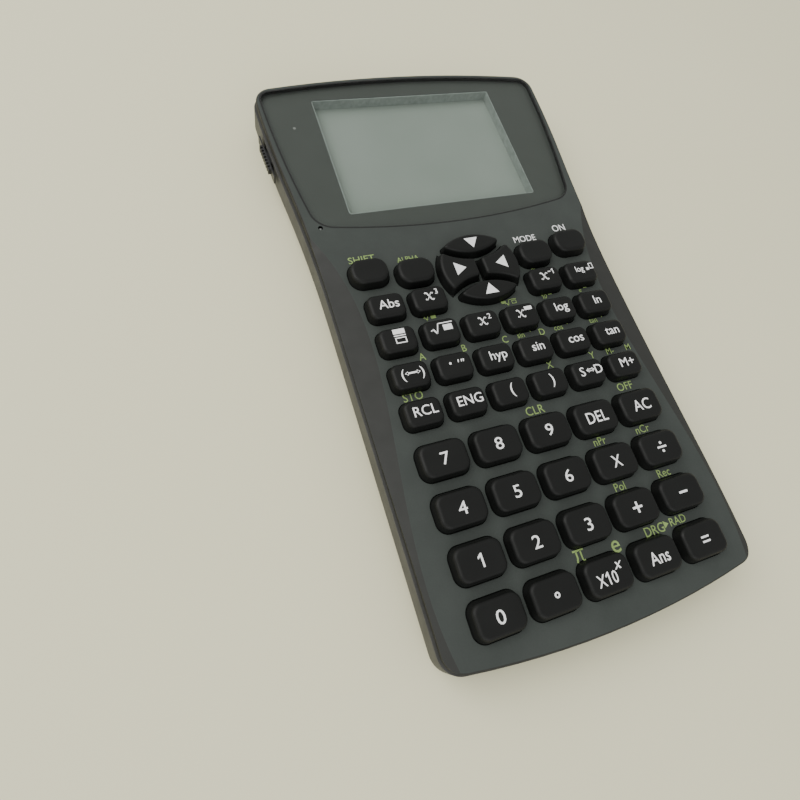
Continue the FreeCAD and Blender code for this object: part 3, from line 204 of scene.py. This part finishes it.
def ink(name, colour):
    """Screen-printed ink with a slightly uneven coat."""
    shader = Shader(name)
    thin = shader.remap(shader.noise(0.6 * MM, 3.0), 0.35, 0.7, 0.0, 0.18)
    tone = shader.mix(thin, colour, [0.6 * c for c in colour[:3]] + [1])
    coat = shader.bump(shader.noise(0.15 * MM), 0.2, 0.01 * MM)
    return shader.finish(Base_Color=tone, Roughness=0.45, Normal=coat)


def printed_border():
    """Grey film printed behind the lens, with a faintly uneven tone."""
    shader = Shader("printed_border")
    fleck = shader.remap(shader.noise(6 * MM, 3.0), 0.3, 0.7, 0.0, 1.0)
    colour = shader.mix(fleck, rgb(58, 62, 58), rgb(61, 65, 61))
    return shader.finish(Base_Color=colour, Roughness=0.5)


def rubber(name, colour, rough=0.75):
    """Dull soft plastic or silicone with a fine skin."""
    shader = Shader(name)
    tone = shader.mix(shader.remap(shader.noise(1.2 * MM, 4.0), 0.3, 0.7, 0.0, 1.0), colour,
                      [0.75 * c for c in colour[:3]] + [1])
    skin = shader.bump(shader.noise(0.12 * MM, 2.0), 0.35, 0.02 * MM)
    return shader.finish(Base_Color=tone, Roughness=rough, Normal=skin)


def circuit_green():
    """Solder resist with darker copper tracks under it."""
    shader = Shader("circuit_green")
    track = shader.add("ShaderNodeTexBrick", {"Vector": shader.place, "Scale": 120.0, "Mortar Size": 0.03})
    colour = shader.mix(track.outputs["Fac"], rgb(22, 92, 48), rgb(40, 128, 70))
    relief = shader.bump(track.outputs["Fac"], 0.4, 0.03 * MM)
    return shader.finish(Base_Color=colour, Roughness=0.35, Normal=relief)


def foil():
    """Crinkled pouch of a flat cell."""
    shader = Shader("foil")
    crinkle = shader.noise(3 * MM, 5.0, 0.6)
    surface = shader.bump(crinkle, 0.5, 0.15 * MM)
    colour = shader.mix(crinkle, rgb(170, 172, 176), rgb(200, 202, 205))
    return shader.finish(Base_Color=colour, Metallic=0.9, Roughness=0.38, Normal=surface)


def blackened_steel():
    """Screw steel with turning marks and rubbed edges."""
    shader = Shader("blackened_steel")
    marks = shader.noise(0.1 * MM, 2.0)
    edge = shader.edges(0.12 * MM)
    colour = shader.mix(edge, rgb(62, 62, 64), rgb(140, 140, 144))
    return shader.finish(Base_Color=colour, Metallic=0.9, Roughness=shader.remap(marks, 0.3, 0.7, 0.3, 0.5),
                         Normal=shader.bump(marks, 0.3, 0.02 * MM))


def desk_paper():
    """Pale plain floor."""
    shader = Shader("desk_paper")
    tone = shader.mix(shader.noise(120 * MM, 4.0), rgb(236, 232, 196), rgb(240, 236, 204))
    return shader.finish(Base_Color=tone, Roughness=0.8)


# the panel's two side colours are painted shade for its sloping facets and upright walls
PANEL = moulded("panel_plastic", rgb(56, 61, 58), rgb(62, 67, 64), 0.55, 0.22 * MM, 0.02 * MM,
                painted_side_shade=(rgb(44, 45, 43), rgb(14, 15, 14)), specular=0.3)
SHELL = moulded("shell_plastic", rgb(60, 60, 58), rgb(70, 70, 68), 0.55, 0.35 * MM, 0.04 * MM, 0.25 * MM,
                specular=0.3)
KEY = moulded("key_plastic", rgb(15, 16, 15), rgb(19, 20, 19), 0.50, 0.20 * MM, 0.02 * MM, 0.12 * MM, 0.02,
              specular=0.25)
SLIDER = moulded("slider_plastic", rgb(26, 26, 27), rgb(32, 32, 33), 0.45, 0.2 * MM, 0.02 * MM, 0.1 * MM)
WHITE_INK = ink("white_ink", rgb(255, 255, 255))
GREEN_INK = ink("green_ink", rgb(146, 172, 100))
BORDER = printed_border()
LINER = rubber("liner_plastic", rgb(150, 156, 152), 0.6)

MATERIALS = {"front_case": PANEL, "rear_case": SHELL, "battery_cover": SHELL, "display_lens": clear_lens(),
             "lcd_module": display_cell(), "side_switch": SLIDER, "circuit_board": circuit_green(),
             "key_membrane": rubber("silicone", rgb(150, 152, 152), 0.55), "battery_pack": foil(),
             "case_screws": blackened_steel()}


def paint(thing, *materials):
    """Replace the materials of an object."""
    thing.data.materials.clear()
    for material in materials:
        thing.data.materials.append(material)


def dress_nodes():
    """Give every frame node its material, and smooth its curved faces."""
    for name, node in NODES.items():
        paint(node, MATERIALS.get(name, KEY))
        node.data.polygons.foreach_set("use_smooth", [True] * len(node.data.polygons))
        node.data.set_sharp_from_angle(angle=SHARP_ANGLE)


# ---- flat printed shapes ----

INK_THICK = 0.03 * MM
WELD = 0.001 * MM
CAP_SHARE = 0.729


class Print:
    """Flat ink on a level surface. Places and sizes are in millimetres about a centre."""

    def __init__(self):
        self.shape = bmesh.new()

    def outline(self, *loops):
        """Fill the area between one outer loop and any holes, and give it the thickness of ink."""
        rings = [[self.shape.verts.new((x * MM, y * MM, 0)) for x, y in loop] for loop in loops]
        edges = [self.shape.edges.new((ring[index - 1], corner)) for ring in rings
                 for index, corner in enumerate(ring)]
        filled = bmesh.ops.triangle_fill(self.shape, edges=edges, use_beauty=True, use_dissolve=False)
        faces = [item for item in filled["geom"] if isinstance(item, bmesh.types.BMFace)]
        raised = bmesh.ops.extrude_face_region(self.shape, geom=faces)
        corners = [item for item in raised["geom"] if isinstance(item, bmesh.types.BMVert)]
        bmesh.ops.translate(self.shape, vec=(0, 0, INK_THICK), verts=corners)

    def letters(self, text, x, y, high, slant=0.0, width=1.0, weight=0.006):
        """Plain lettering with capitals of the given height, centred on x and on half that height."""
        curve = bpy.data.curves.new("type", "FONT")
        curve.body = text
        curve.size = high * MM / CAP_SHARE
        curve.shear = slant
        curve.offset = weight * high * MM
        curve.extrude = INK_THICK / 2
        curve.resolution_u = 3
        holder = bpy.data.objects.new("type", curve)
        SCENE.collection.objects.link(holder)
        shown = holder.evaluated_get(bpy.context.evaluated_depsgraph_get())
        mesh = bpy.data.meshes.new_from_object(shown)
        across = [corner.co.x for corner in mesh.vertices]
        middle = (min(across) + max(across)) / 2
        shift = Matrix.Translation((x * MM, (y - high / 2) * MM, INK_THICK / 2))
        mesh.transform(shift @ Matrix.Diagonal((width, 1, 1, 1)) @ Matrix.Translation((-middle, 0, 0)))
        self.shape.from_mesh(mesh)
        bpy.data.objects.remove(holder)
        bpy.data.curves.remove(curve)
        bpy.data.meshes.remove(mesh)

    def block(self, x, y, wide, high):
        """A filled rectangle about x, y."""
        self.outline(corners_of(x, y, wide, high))

    def frame(self, x, y, wide, high, line):
        """A rectangle drawn in line."""
        self.outline(corners_of(x, y, wide, high), corners_of(x, y, wide - 2 * line, high - 2 * line))

    def ring(self, x, y, radius, line):
        self.outline(circle_of(x, y, radius), circle_of(x, y, radius - line))

    def dot(self, x, y, radius):
        self.outline(circle_of(x, y, radius))

    def shape_of(self, *points):
        self.outline(points)

    def stroke(self, points, start, end=None):
        """A line along points, its width running from start to end."""
        end = start if end is None else end
        left, right = [], []
        for index, (x, y) in enumerate(points):
            before = points[max(index - 1, 0)]
            after = points[min(index + 1, len(points) - 1)]
            run = Vector((after[0] - before[0], after[1] - before[1])).normalized()
            half = (start + (end - start) * index / (len(points) - 1)) / 2
            left.append((x - run.y * half, y + run.x * half))
            right.append((x + run.y * half, y - run.x * half))
        self.outline(left + right[::-1])

    def place(self, name, body, centre, material, slot):
        """Make the object at a point of the frame and let it ride on a body."""
        bmesh.ops.remove_doubles(self.shape, verts=self.shape.verts, dist=WELD)
        bmesh.ops.recalc_face_normals(self.shape, faces=self.shape.faces)
        bmesh.ops.translate(self.shape, vec=centre, verts=self.shape.verts)
        mesh = bpy.data.meshes.new(name)
        self.shape.to_mesh(mesh)
        self.shape.free()
        piece = bpy.data.objects.new(name, mesh)
        SCENE.collection.objects.link(piece)
        paint(piece, material)
        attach(piece, body)
        return piece


def corners_of(x, y, wide, high):
    """Corners of a rectangle about x, y."""
    return [(x - wide / 2, y - high / 2), (x + wide / 2, y - high / 2),
            (x + wide / 2, y + high / 2), (x - wide / 2, y + high / 2)]


def circle_of(x, y, radius, count=24):
    """Points round a circle."""
    turns = [2 * math.pi * step / count for step in range(count)]
    return [(x + radius * math.cos(turn), y + radius * math.sin(turn)) for turn in turns]


def bow(x, y, radius, start, end, count=8):
    """Points along an arc, in degrees."""
    turns = [math.radians(start + (end - start) * step / count) for step in range(count + 1)]
    return [(x + radius * math.cos(turn), y + radius * math.sin(turn)) for turn in turns]


# ---- legends ----

def script_x(sheet, x, y, high):
    """The curled x of algebra: a heavy stroke one way and two thin hooks the other way."""
    unit = high / 2
    heavy = [(-0.95, 0.78), (-0.7, 0.98), (-0.42, 0.82), (-0.12, 0.2), (0.14, -0.34), (0.42, -0.86),
             (0.72, -0.98), (0.98, -0.72)]
    sheet.stroke([(x + unit * a, y + unit * b) for a, b in heavy], 0.36 * unit, 0.30 * unit)
    for side in (1, -1):
        hook = [(0.06 * side, 0.02 * side), (0.36 * side, 0.52 * side), (0.66 * side, 0.90 * side),
                (0.92 * side, 0.84 * side)]
        sheet.stroke([(x + unit * a, y + unit * b) for a, b in hook], 0.14 * unit, 0.20 * unit)
        sheet.dot(x + unit * 0.90 * side, y + unit * 0.74 * side, 0.19 * unit)


def radical(sheet, x, y, wide, high, line):
    """A root sign whose bar reaches right by wide."""
    sheet.stroke([(x - wide * 0.62, y - high * 0.15), (x - wide * 0.5, y - high * 0.05)], line)
    sheet.stroke([(x - wide * 0.5, y), (x - wide * 0.36, y - high * 0.5)], 1.5 * line)
    sheet.stroke([(x - wide * 0.36, y - high * 0.5), (x - wide * 0.2, y + high * 0.5)], line)
    sheet.stroke([(x - wide * 0.2, y + high * 0.5), (x + wide * 0.5, y + high * 0.5)], line)


def both_ways(sheet, x, y, wide, line):
    """A double arrow."""
    for side in (-1, 1):
        tip = x + side * wide / 2
        sheet.shape_of((tip, y), (tip - side * 0.7, y + 0.6), (tip - side * 0.7, y - 0.6))
    for lift in (-0.24, 0.24):
        sheet.block(x, y + lift, wide - 1.0, line)


def figure_one(sheet, x, y, high, width=1.0):
    """The figure 1, with its flag, which the built-in lettering leaves out."""
    points = [(0.02, -0.5), (0.17, -0.5), (0.17, 0.5), (0.06, 0.5), (-0.20, 0.27), (-0.20, 0.11),
              (0.02, 0.25)]
    sheet.shape_of(*[(x + high * width * a, y + high * b) for a, b in points])


def arrow(sheet, turn):
    """A solid triangle that points along turn, in degrees."""
    points = [(1.6, 0), (-1.35, 1.85), (-1.35, -1.85)]
    angle = math.radians(turn)
    sheet.shape_of(*[(x * math.cos(angle) - y * math.sin(angle), x * math.sin(angle) + y * math.cos(angle))
                     for x, y in points])


# Heights of lettering and places of print, in millimetres, and widths as shares of the lettering's own.
DIGIT_HIGH = 2.85
DIGIT_WIDTH = 1.12
WORD_HIGH = 2.4
BRACKET_HIGH = 2.7
BRACKET_Y = 0.2
SCRIPT_HIGH = 2.1
POWER_HIGH = 1.5
LABEL_WIDTH = 0.92
SMALL_KEY_SHIFT = Vector((0.45, 0.35, 0)) * MM

WORDS = {"key_absolute": "Abs", "key_log": "log", "key_natural_log": "ln", "key_hyperbolic": "hyp",
         "key_sine": "sin", "key_cosine": "cos", "key_tangent": "tan", "key_recall": "RCL",
         "key_engineering": "ENG", "key_memory_plus": "M+"}
CAPTIONS = {"key_delete": ("DEL", 0.86), "key_all_clear": ("AC", 0.92), "key_answer": ("Ans", 0.85),
            "key_times": ("X", 0.85)}


def legend_raised(power):
    """An x with a figure as its power."""
    def draw(sheet):
        script_x(sheet, -0.5, 0.0, SCRIPT_HIGH)
        sheet.letters(power, 1.55, 1.1, POWER_HIGH)
    return draw


def legend_reciprocal(sheet):
    script_x(sheet, -0.9, 0.0, SCRIPT_HIGH)
    sheet.block(0.95, 1.1, 0.75, 0.28)
    figure_one(sheet, 1.9, 1.1, POWER_HIGH)


def legend_power(sheet):
    script_x(sheet, -0.8, 0.0, SCRIPT_HIGH)
    sheet.block(1.6, 1.2, 2.1, 1.0)


def legend_log_base(sheet):
    sheet.letters("log", -0.9, 0.4, 1.75, width=0.9)
    sheet.block(1.5, 0.0, 0.8, 0.8)
    sheet.frame(2.75, 0.7, 1.2, 1.7, 0.22)


def legend_fraction(sheet):
    sheet.block(0, 1.5, 2.9, 1.25)
    sheet.block(0, 0.45, 2.9, 0.28)
    sheet.frame(0, -0.75, 2.7, 1.5, 0.26)


def legend_root(sheet):
    radical(sheet, 0, 0.3, 5.2, 2.5, 0.26)
    sheet.block(1.15, 0.3, 2.3, 1.45)


def legend_negative(sheet):
    sheet.letters("(", -2.3, 0.1, 2.4)
    sheet.letters(")", 2.3, 0.1, 2.4)
    sheet.block(0, 0, 3.0, 0.42)
    for side in (-1, 1):
        sheet.shape_of((side * 1.1, 0.5), (side * 1.9, 0), (side * 1.1, -0.5))


def legend_degrees(sheet):
    sheet.dot(-1.5, 0.2, 0.3)
    for x in (0.55, 1.35, 1.85):
        sheet.stroke([(x + 0.1, 0.75), (x - 0.05, 0.1)], 0.34, 0.2)


def legend_convert(sheet):
    sheet.letters("S", -2.3, 0, WORD_HIGH)
    both_ways(sheet, 0, 0, 2.4, 0.2)
    sheet.letters("D", 2.3, 0, WORD_HIGH)


def legend_exponent(sheet):
    sheet.letters("X", -2.35, -0.5, 2.6, width=0.80)
    figure_one(sheet, -0.7, -0.5, 2.6, 0.9)
    sheet.letters("0", 0.95, -0.5, 2.6, width=0.80)
    sheet.letters("x", 2.6, 1.75, 2.3, slant=0.35)


def legend_point(sheet):
    sheet.ring(0, 0, 0.62, 0.34)


def legend_plus(sheet):
    long, half = 1.25, 0.25
    sheet.shape_of((long, -half), (long, half), (half, half), (half, long), (-half, long),
                   (-half, half), (-long, half), (-long, -half), (-half, -half), (-half, -long),
                   (half, -long), (half, -half))


def legend_minus(sheet):
    sheet.block(0, 0, 2.3, 0.5)


def legend_divide(sheet):
    sheet.block(0, 0, 2.5, 0.45)
    sheet.dot(0, 1.0, 0.34)
    sheet.dot(0, -1.0, 0.34)


def legend_equals(sheet):
    for lift in (-0.5, 0.5):
        sheet.block(0, lift, 2.1, 0.42)


DRAWN = {"key_cube": legend_raised("3"), "key_square": legend_raised("2"),
         "key_reciprocal": legend_reciprocal, "key_power": legend_power,
         "key_log_base": legend_log_base, "key_fraction": legend_fraction,
         "key_root": legend_root, "key_negative": legend_negative,
         "key_degrees": legend_degrees, "key_convert": legend_convert,
         "key_exponent": legend_exponent, "key_point": legend_point,
         "key_plus": legend_plus, "key_minus": legend_minus,
         "key_divide": legend_divide, "key_equals": legend_equals}
SMALL_KEYS = set(WORDS) | {"key_cube", "key_square", "key_reciprocal", "key_power", "key_log_base",
                           "key_fraction", "key_root", "key_negative", "key_degrees", "key_convert",
                           "key_bracket_open", "key_bracket_close"}
ARROWS = {"cursor_up": -90, "cursor_down": 90, "cursor_left": 0, "cursor_right": 180}


def key_legend(name):
    """The print on one key, or None where the key is blank."""
    sheet = Print()
    if name in DRAWN:
        DRAWN[name](sheet)
    elif name in WORDS:
        sheet.letters(WORDS[name], 0, 0, WORD_HIGH)
    elif name in CAPTIONS:
        text, width = CAPTIONS[name]
        sheet.letters(text, 0, 0, DIGIT_HIGH, width=width)
    elif name in ARROWS:
        arrow(sheet, ARROWS[name])
    elif name.startswith("key_bracket"):
        sheet.letters("(" if name.endswith("open") else ")", 0, BRACKET_Y, BRACKET_HIGH)
    elif name == "key_1":
        figure_one(sheet, 0, 0, DIGIT_HIGH)
    elif name[4:].isdigit():
        sheet.letters(name[4:], 0, 0, DIGIT_HIGH, width=DIGIT_WIDTH)
    else:
        sheet.shape.free()
        return None
    return sheet


def print_keys():
    """Print every key's legend on its top face."""
    for name in sorted(NODES):
        if not name.startswith(("key_", "cursor_")) or name == "key_membrane":
            continue
        sheet = key_legend(name)
        if sheet is None:
            continue
        low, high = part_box(name)
        centre = (low + high) / 2
        if name in SMALL_KEYS:
            centre += SMALL_KEY_SHIFT
        centre.z = high.z
        sheet.place(f"{name}_legend", name, centre, WHITE_INK, "key")


def green_root(sheet, x, y):
    sheet.letters("3", x - 1.6, y + 0.45, 0.9)
    radical(sheet, x, y, 2.6, 1.5, 0.16)
    sheet.block(x + 0.75, y, 1.3, 0.9)


def green_box_root(sheet, x, y):
    sheet.block(x - 1.6, y + 0.3, 1.3, 0.7)
    radical(sheet, x + 0.6, y, 3.0, 1.6, 0.16)
    sheet.frame(x + 1.3, y, 1.3, 0.95, 0.15)


def green_ten_power(sheet, x, y):
    figure_one(sheet, x - 1.2, y - 0.1, 1.3)
    sheet.letters("0", x - 0.35, y - 0.1, 1.3, slant=0.2)
    sheet.block(x + 1.1, y + 0.45, 1.1, 0.6)


def green_e_power(sheet, x, y):
    sheet.letters("e", x - 0.6, y - 0.1, 1.3, slant=0.2)
    sheet.block(x + 1.1, y + 0.45, 1.1, 0.6)


def word(text, high, width=LABEL_WIDTH):
    """A drawer of one plain word."""
    def draw(sheet, x, y):
        sheet.letters(text, x, y, high, width=width)
    return draw


def green_inverse(text):
    """A drawer of a function's name with the power of minus one."""
    def draw(sheet, x, y):
        sheet.letters(text, x - 0.7, y, 1.55, width=LABEL_WIDTH)
        sheet.block(x + 1.4, y + 0.75, 0.5, 0.16)
        figure_one(sheet, x + 2.1, y + 0.75, 1.0)
    return draw


def green_pi(sheet, x, y):
    sheet.block(x, y + 1.1, 2.7, 0.38)
    sheet.stroke([(x - 0.55, y + 1.0), (x - 0.6, y - 0.4), (x - 0.95, y - 1.3)], 0.36, 0.46)
    sheet.stroke([(x + 0.55, y + 1.0), (x + 0.5, y - 0.8), (x + 0.7, y - 1.25), (x + 1.15, y - 1.15)],
                 0.38, 0.3)


def green_angle(sheet, x, y):
    sheet.letters("DRG", x - 3.4, y - 0.2, 2.2, width=0.9)
    sheet.shape_of((x - 0.55, y + 0.85), (x + 0.75, y), (x - 0.55, y - 0.85))
    sheet.letters("RAD", x + 3.4, y + 0.1, 1.9, width=0.9)


# Labels beside the keys: the key, the place from its centre in millimetres, and what is drawn.
PANEL_LABELS = (
    ("key_shift", -0.3, 4.95, word("SHIFT", 1.9, 1.05)),
    ("key_alpha", -0.1, 4.85, word("ALPHA", 1.5)),
    ("key_recall", -0.4, 4.85, word("STO", 2.1)),
    ("key_9", 0.0, 5.8, word("CLR", 2.2)),
    ("key_all_clear", 0.0, 6.0, word("OFF", 2.1)),
    ("key_times", -0.2, 5.7, word("nPr", 2.0)),
    ("key_divide", -0.7, 5.7, word("nCr", 2.0)),
    ("key_plus", -0.2, 5.5, word("Pol", 2.0)),
    ("key_minus", -0.5, 5.5, word("Rec", 2.0)),
    ("key_exponent", -3.5, 5.4, green_pi),
    ("key_exponent", 5.7, 5.4, word("e", 4.0, 0.95)),
    ("key_answer", 7.0, 5.5, green_angle),
    ("key_negative", 4.9, 4.75, word("A", 1.9)),
    ("key_degrees", 4.9, 4.75, word("B", 1.9)),
    ("key_hyperbolic", 5.2, 4.75, word("C", 1.9)),
    ("key_sine", 4.9, 4.75, word("D", 1.9)),
    ("key_sine", -0.4, 5.0, green_inverse("sin")),
    ("key_cosine", -0.3, 5.0, green_inverse("cos")),
    ("key_tangent", -0.6, 5.0, green_inverse("tan")),
    ("key_bracket_close", 3.1, 4.85, word("X", 1.9)),
    ("key_convert", 4.75, 4.85, word("Y", 1.9)),
    ("key_memory_plus", -0.6, 4.85, word("M-", 1.7)),
    ("key_memory_plus", 4.9, 4.85, word("M", 1.7)),
    ("key_root", -0.5, 5.2, green_root),
    ("key_power", -0.4, 5.2, green_box_root),
    ("key_log", -0.3, 5.2, green_ten_power),
    ("key_natural_log", -0.3, 5.2, green_e_power),
    ("key_reciprocal", -0.8, 4.95, word("x!", 1.3)),
)
WHITE_LABELS = (
    ("key_mode", 0.1, 5.65, word("MODE", 1.9)),
    ("key_on", 0.2, 5.75, word("ON", 2.1)),
)


def print_labels(name, labels, material):
    """Print a set of labels on the panel as one piece."""
    sheet = Print()
    for key, x, y, draw in labels:
        low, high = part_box(key)
        middle = (low + high) / 2 / MM
        draw(sheet, middle.x + x, middle.y + y)
    panel_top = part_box("front_case")[1].z
    sheet.place(name, "case", Vector((0, 0, panel_top)), material, "panel")


# ---- display ----

WINDOW_HALF = Vector((27.35, 19.4)) * MM
WINDOW_ROUND = 0.8 * MM
GLASS_HALF_LONG = 22.0 * MM
LINER_THICK = 0.25 * MM
# reach of the painted shade ring round the lens: out past its edge, and in over it
GAP_SHADE_OUT = 0.16 * MM
GAP_SHADE_IN = 0.22 * MM
FIT = 0.03 * MM
LAMP_PLACE = (-34.2, 62.6)
LAMP_RADIUS = 0.4
SOUND_PLACE = (-36.0, 29.4)
SOUND_RADIUS = 0.28
SOUND_DEEP = 0.5 * MM


def rounded_box(centre, half, radius, count=6):
    """Corner points of a rounded rectangle, in metres."""
    points = []
    for turn, (across, along) in enumerate(((1, -1), (1, 1), (-1, 1), (-1, -1))):
        x = centre.x + across * (half.x - radius)
        y = centre.y + along * (half.y - radius)
        points += bow(x, y, radius, turn * 90 - 90, turn * 90, count)
    return points


def lens_rim(inset):
    """The lens outline, drawn in by inset, as a loop of points in metres."""
    low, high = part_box("display_lens")
    middle = (low + high) / 2
    vertices = NODES["display_lens"].data.vertices
    corners = {(round(vertex.co.x, 6), round(vertex.co.y, 6)) for vertex in vertices}
    loop = sorted(corners, key=lambda point: math.atan2(point[1] - middle.y, point[0] - middle.x))
    half = (high - low) / 2
    shrink = ((half.x - inset) / half.x, (half.y - inset) / half.y)
    return [(middle.x + (x - middle.x) * shrink[0], middle.y + (y - middle.y) * shrink[1]) for x, y in loop]


def window_centre():
    """Middle of the display window, which is also the middle of the display glass."""
    low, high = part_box("lcd_module")
    return Vector(((low.x + high.x) / 2, high.y - GLASS_HALF_LONG, 0))


def ring_between(name, outer, inner, level, material, slot):
    """A flat printed ring between two loops given in metres."""
    sheet = Print()
    sheet.outline(*[[(x / MM, y / MM) for x, y in loop] for loop in (outer, inner)])
    sheet.place(name, "case", Vector((0, 0, level)), material, slot)


def lens_border():
    """A grey film in the lens, with the window left clear, and a near-black ring round the lens's edge,
    painted shade for the shadow in the gap beside the lens.
    """
    low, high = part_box("display_lens")
    window = rounded_box(window_centre(), WINDOW_HALF, WINDOW_ROUND)
    ring_between("lens_border", lens_rim(FIT), window, low.z + FIT, BORDER, "lens")
    # painted shade: a near-black ring laid over the lens's edge where the gap's shadow falls
    ring_between("lens_gap_shade", lens_rim(-GAP_SHADE_OUT), lens_rim(GAP_SHADE_IN), high.z - INK_THICK / 2,
                 rubber("painted_gap_shade", rgb(26, 27, 26)), "lens")


def window_liner():
    """Pale frame that lines the recess between the lens and the display glass."""
    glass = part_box("lcd_module")[1].z
    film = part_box("display_lens")[0].z
    centre = window_centre()
    inset = Vector((FIT, FIT))
    thick = Vector((LINER_THICK, LINER_THICK))
    outer = rounded_box(centre, WINDOW_HALF - inset, WINDOW_ROUND / 2)
    inner = rounded_box(centre, WINDOW_HALF - inset - thick, WINDOW_ROUND / 2)
    liner = Print()
    liner.outline(*[[(x / MM, y / MM) for x, y in loop] for loop in (outer, inner)])
    for vertex in liner.shape.verts:
        if vertex.co.z > 0:
            vertex.co.z = film - glass - 2 * FIT
    liner.place("window_liner", "case", Vector((0, 0, glass + FIT)), LINER, "display")


def border_spots():
    """The lamp's small window in the border, and the pale throat of the sound hole."""
    lamp = Print()
    lamp.dot(*LAMP_PLACE, LAMP_RADIUS)
    lamp.place("lamp_window", "case", Vector((0, 0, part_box("display_lens")[0].z + FIT + INK_THICK)),
               ink("lamp_spot", rgb(124, 126, 122)), "lens")
    throat = Print()
    throat.dot(*SOUND_PLACE, SOUND_RADIUS)
    throat.place("sound_throat", "case", Vector((0, 0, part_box("front_case")[1].z - SOUND_DEEP)),
                 ink("throat_grey", rgb(130, 133, 130)), "panel")


# ---- surroundings ----

CAMERA_PLACE = Vector((-66.48, -54.18, 123.54)) * MM
CAMERA_RIGHT = Vector((0.9309, -0.30319, 0.20372))
CAMERA_UP = Vector((0.21579, 0.90645, 0.36301))
CAMERA_LENS = 24.585
SENSOR_WIDE = 36
FLOOR_WIDE = 3.0
SURROUND_COLOUR = (0.92, 0.93, 0.9, 1)
SURROUND_STRENGTH = 0.72


def camera():
    """The viewpoint: close, above the lower left, turned a little."""
    data = bpy.data.cameras.new("camera")
    data.lens = CAMERA_LENS
    data.sensor_width = SENSOR_WIDE
    data.clip_start = 1 * MM
    view = bpy.data.objects.new("camera", data)
    back = CAMERA_RIGHT.cross(CAMERA_UP).normalized()
    right = CAMERA_RIGHT.normalized()
    up = back.cross(right)
    axes = Matrix((right, up, back)).transposed()
    view.matrix_world = Matrix.Translation(CAMERA_PLACE) @ axes.to_4x4()
    SCENE.collection.objects.link(view)
    SCENE.camera = view


def softbox(name, place, size, power, colour=(1, 1, 1)):
    """A rectangular area light at a place, in metres, aimed at the calculator."""
    data = bpy.data.lights.new(name, "AREA")
    data.shape = "RECTANGLE"
    data.size, data.size_y = size
    data.energy = power
    data.color = colour
    light = bpy.data.objects.new(name, data)
    light.location = place
    light.rotation_euler = Vector(place).to_track_quat("Z", "Y").to_euler()
    SCENE.collection.objects.link(light)


def studio():
    """Pale floor, two soft lights from above, and a pale surround."""
    softbox("key_light", (-0.6, 0.4, 0.85), (0.9, 0.9), 10.0, (1.0, 0.99, 0.96))
    softbox("fill_light", (-0.2, -0.8, 0.6), (0.7, 0.5), 2.6)
    world = bpy.data.worlds.new("surround")
    world.use_nodes = True
    background = world.node_tree.nodes["Background"].inputs
    background["Color"].default_value = SURROUND_COLOUR
    background["Strength"].default_value = SURROUND_STRENGTH
    SCENE.world = world
    mesh = bpy.data.meshes.new("floor")
    corners = [(x, y, 0) for x, y in corners_of(0, 0, FLOOR_WIDE, FLOOR_WIDE)]
    mesh.from_pydata(corners, [], [(0, 1, 2, 3)])
    floor = bpy.data.objects.new("floor", mesh)
    SCENE.collection.objects.link(floor)
    paint(floor, desk_paper())


dress_nodes()
print_keys()
print_labels("panel_labels", PANEL_LABELS, GREEN_INK)
print_labels("power_labels", WHITE_LABELS, WHITE_INK)
lens_border()
window_liner()
border_spots()
camera()
studio()
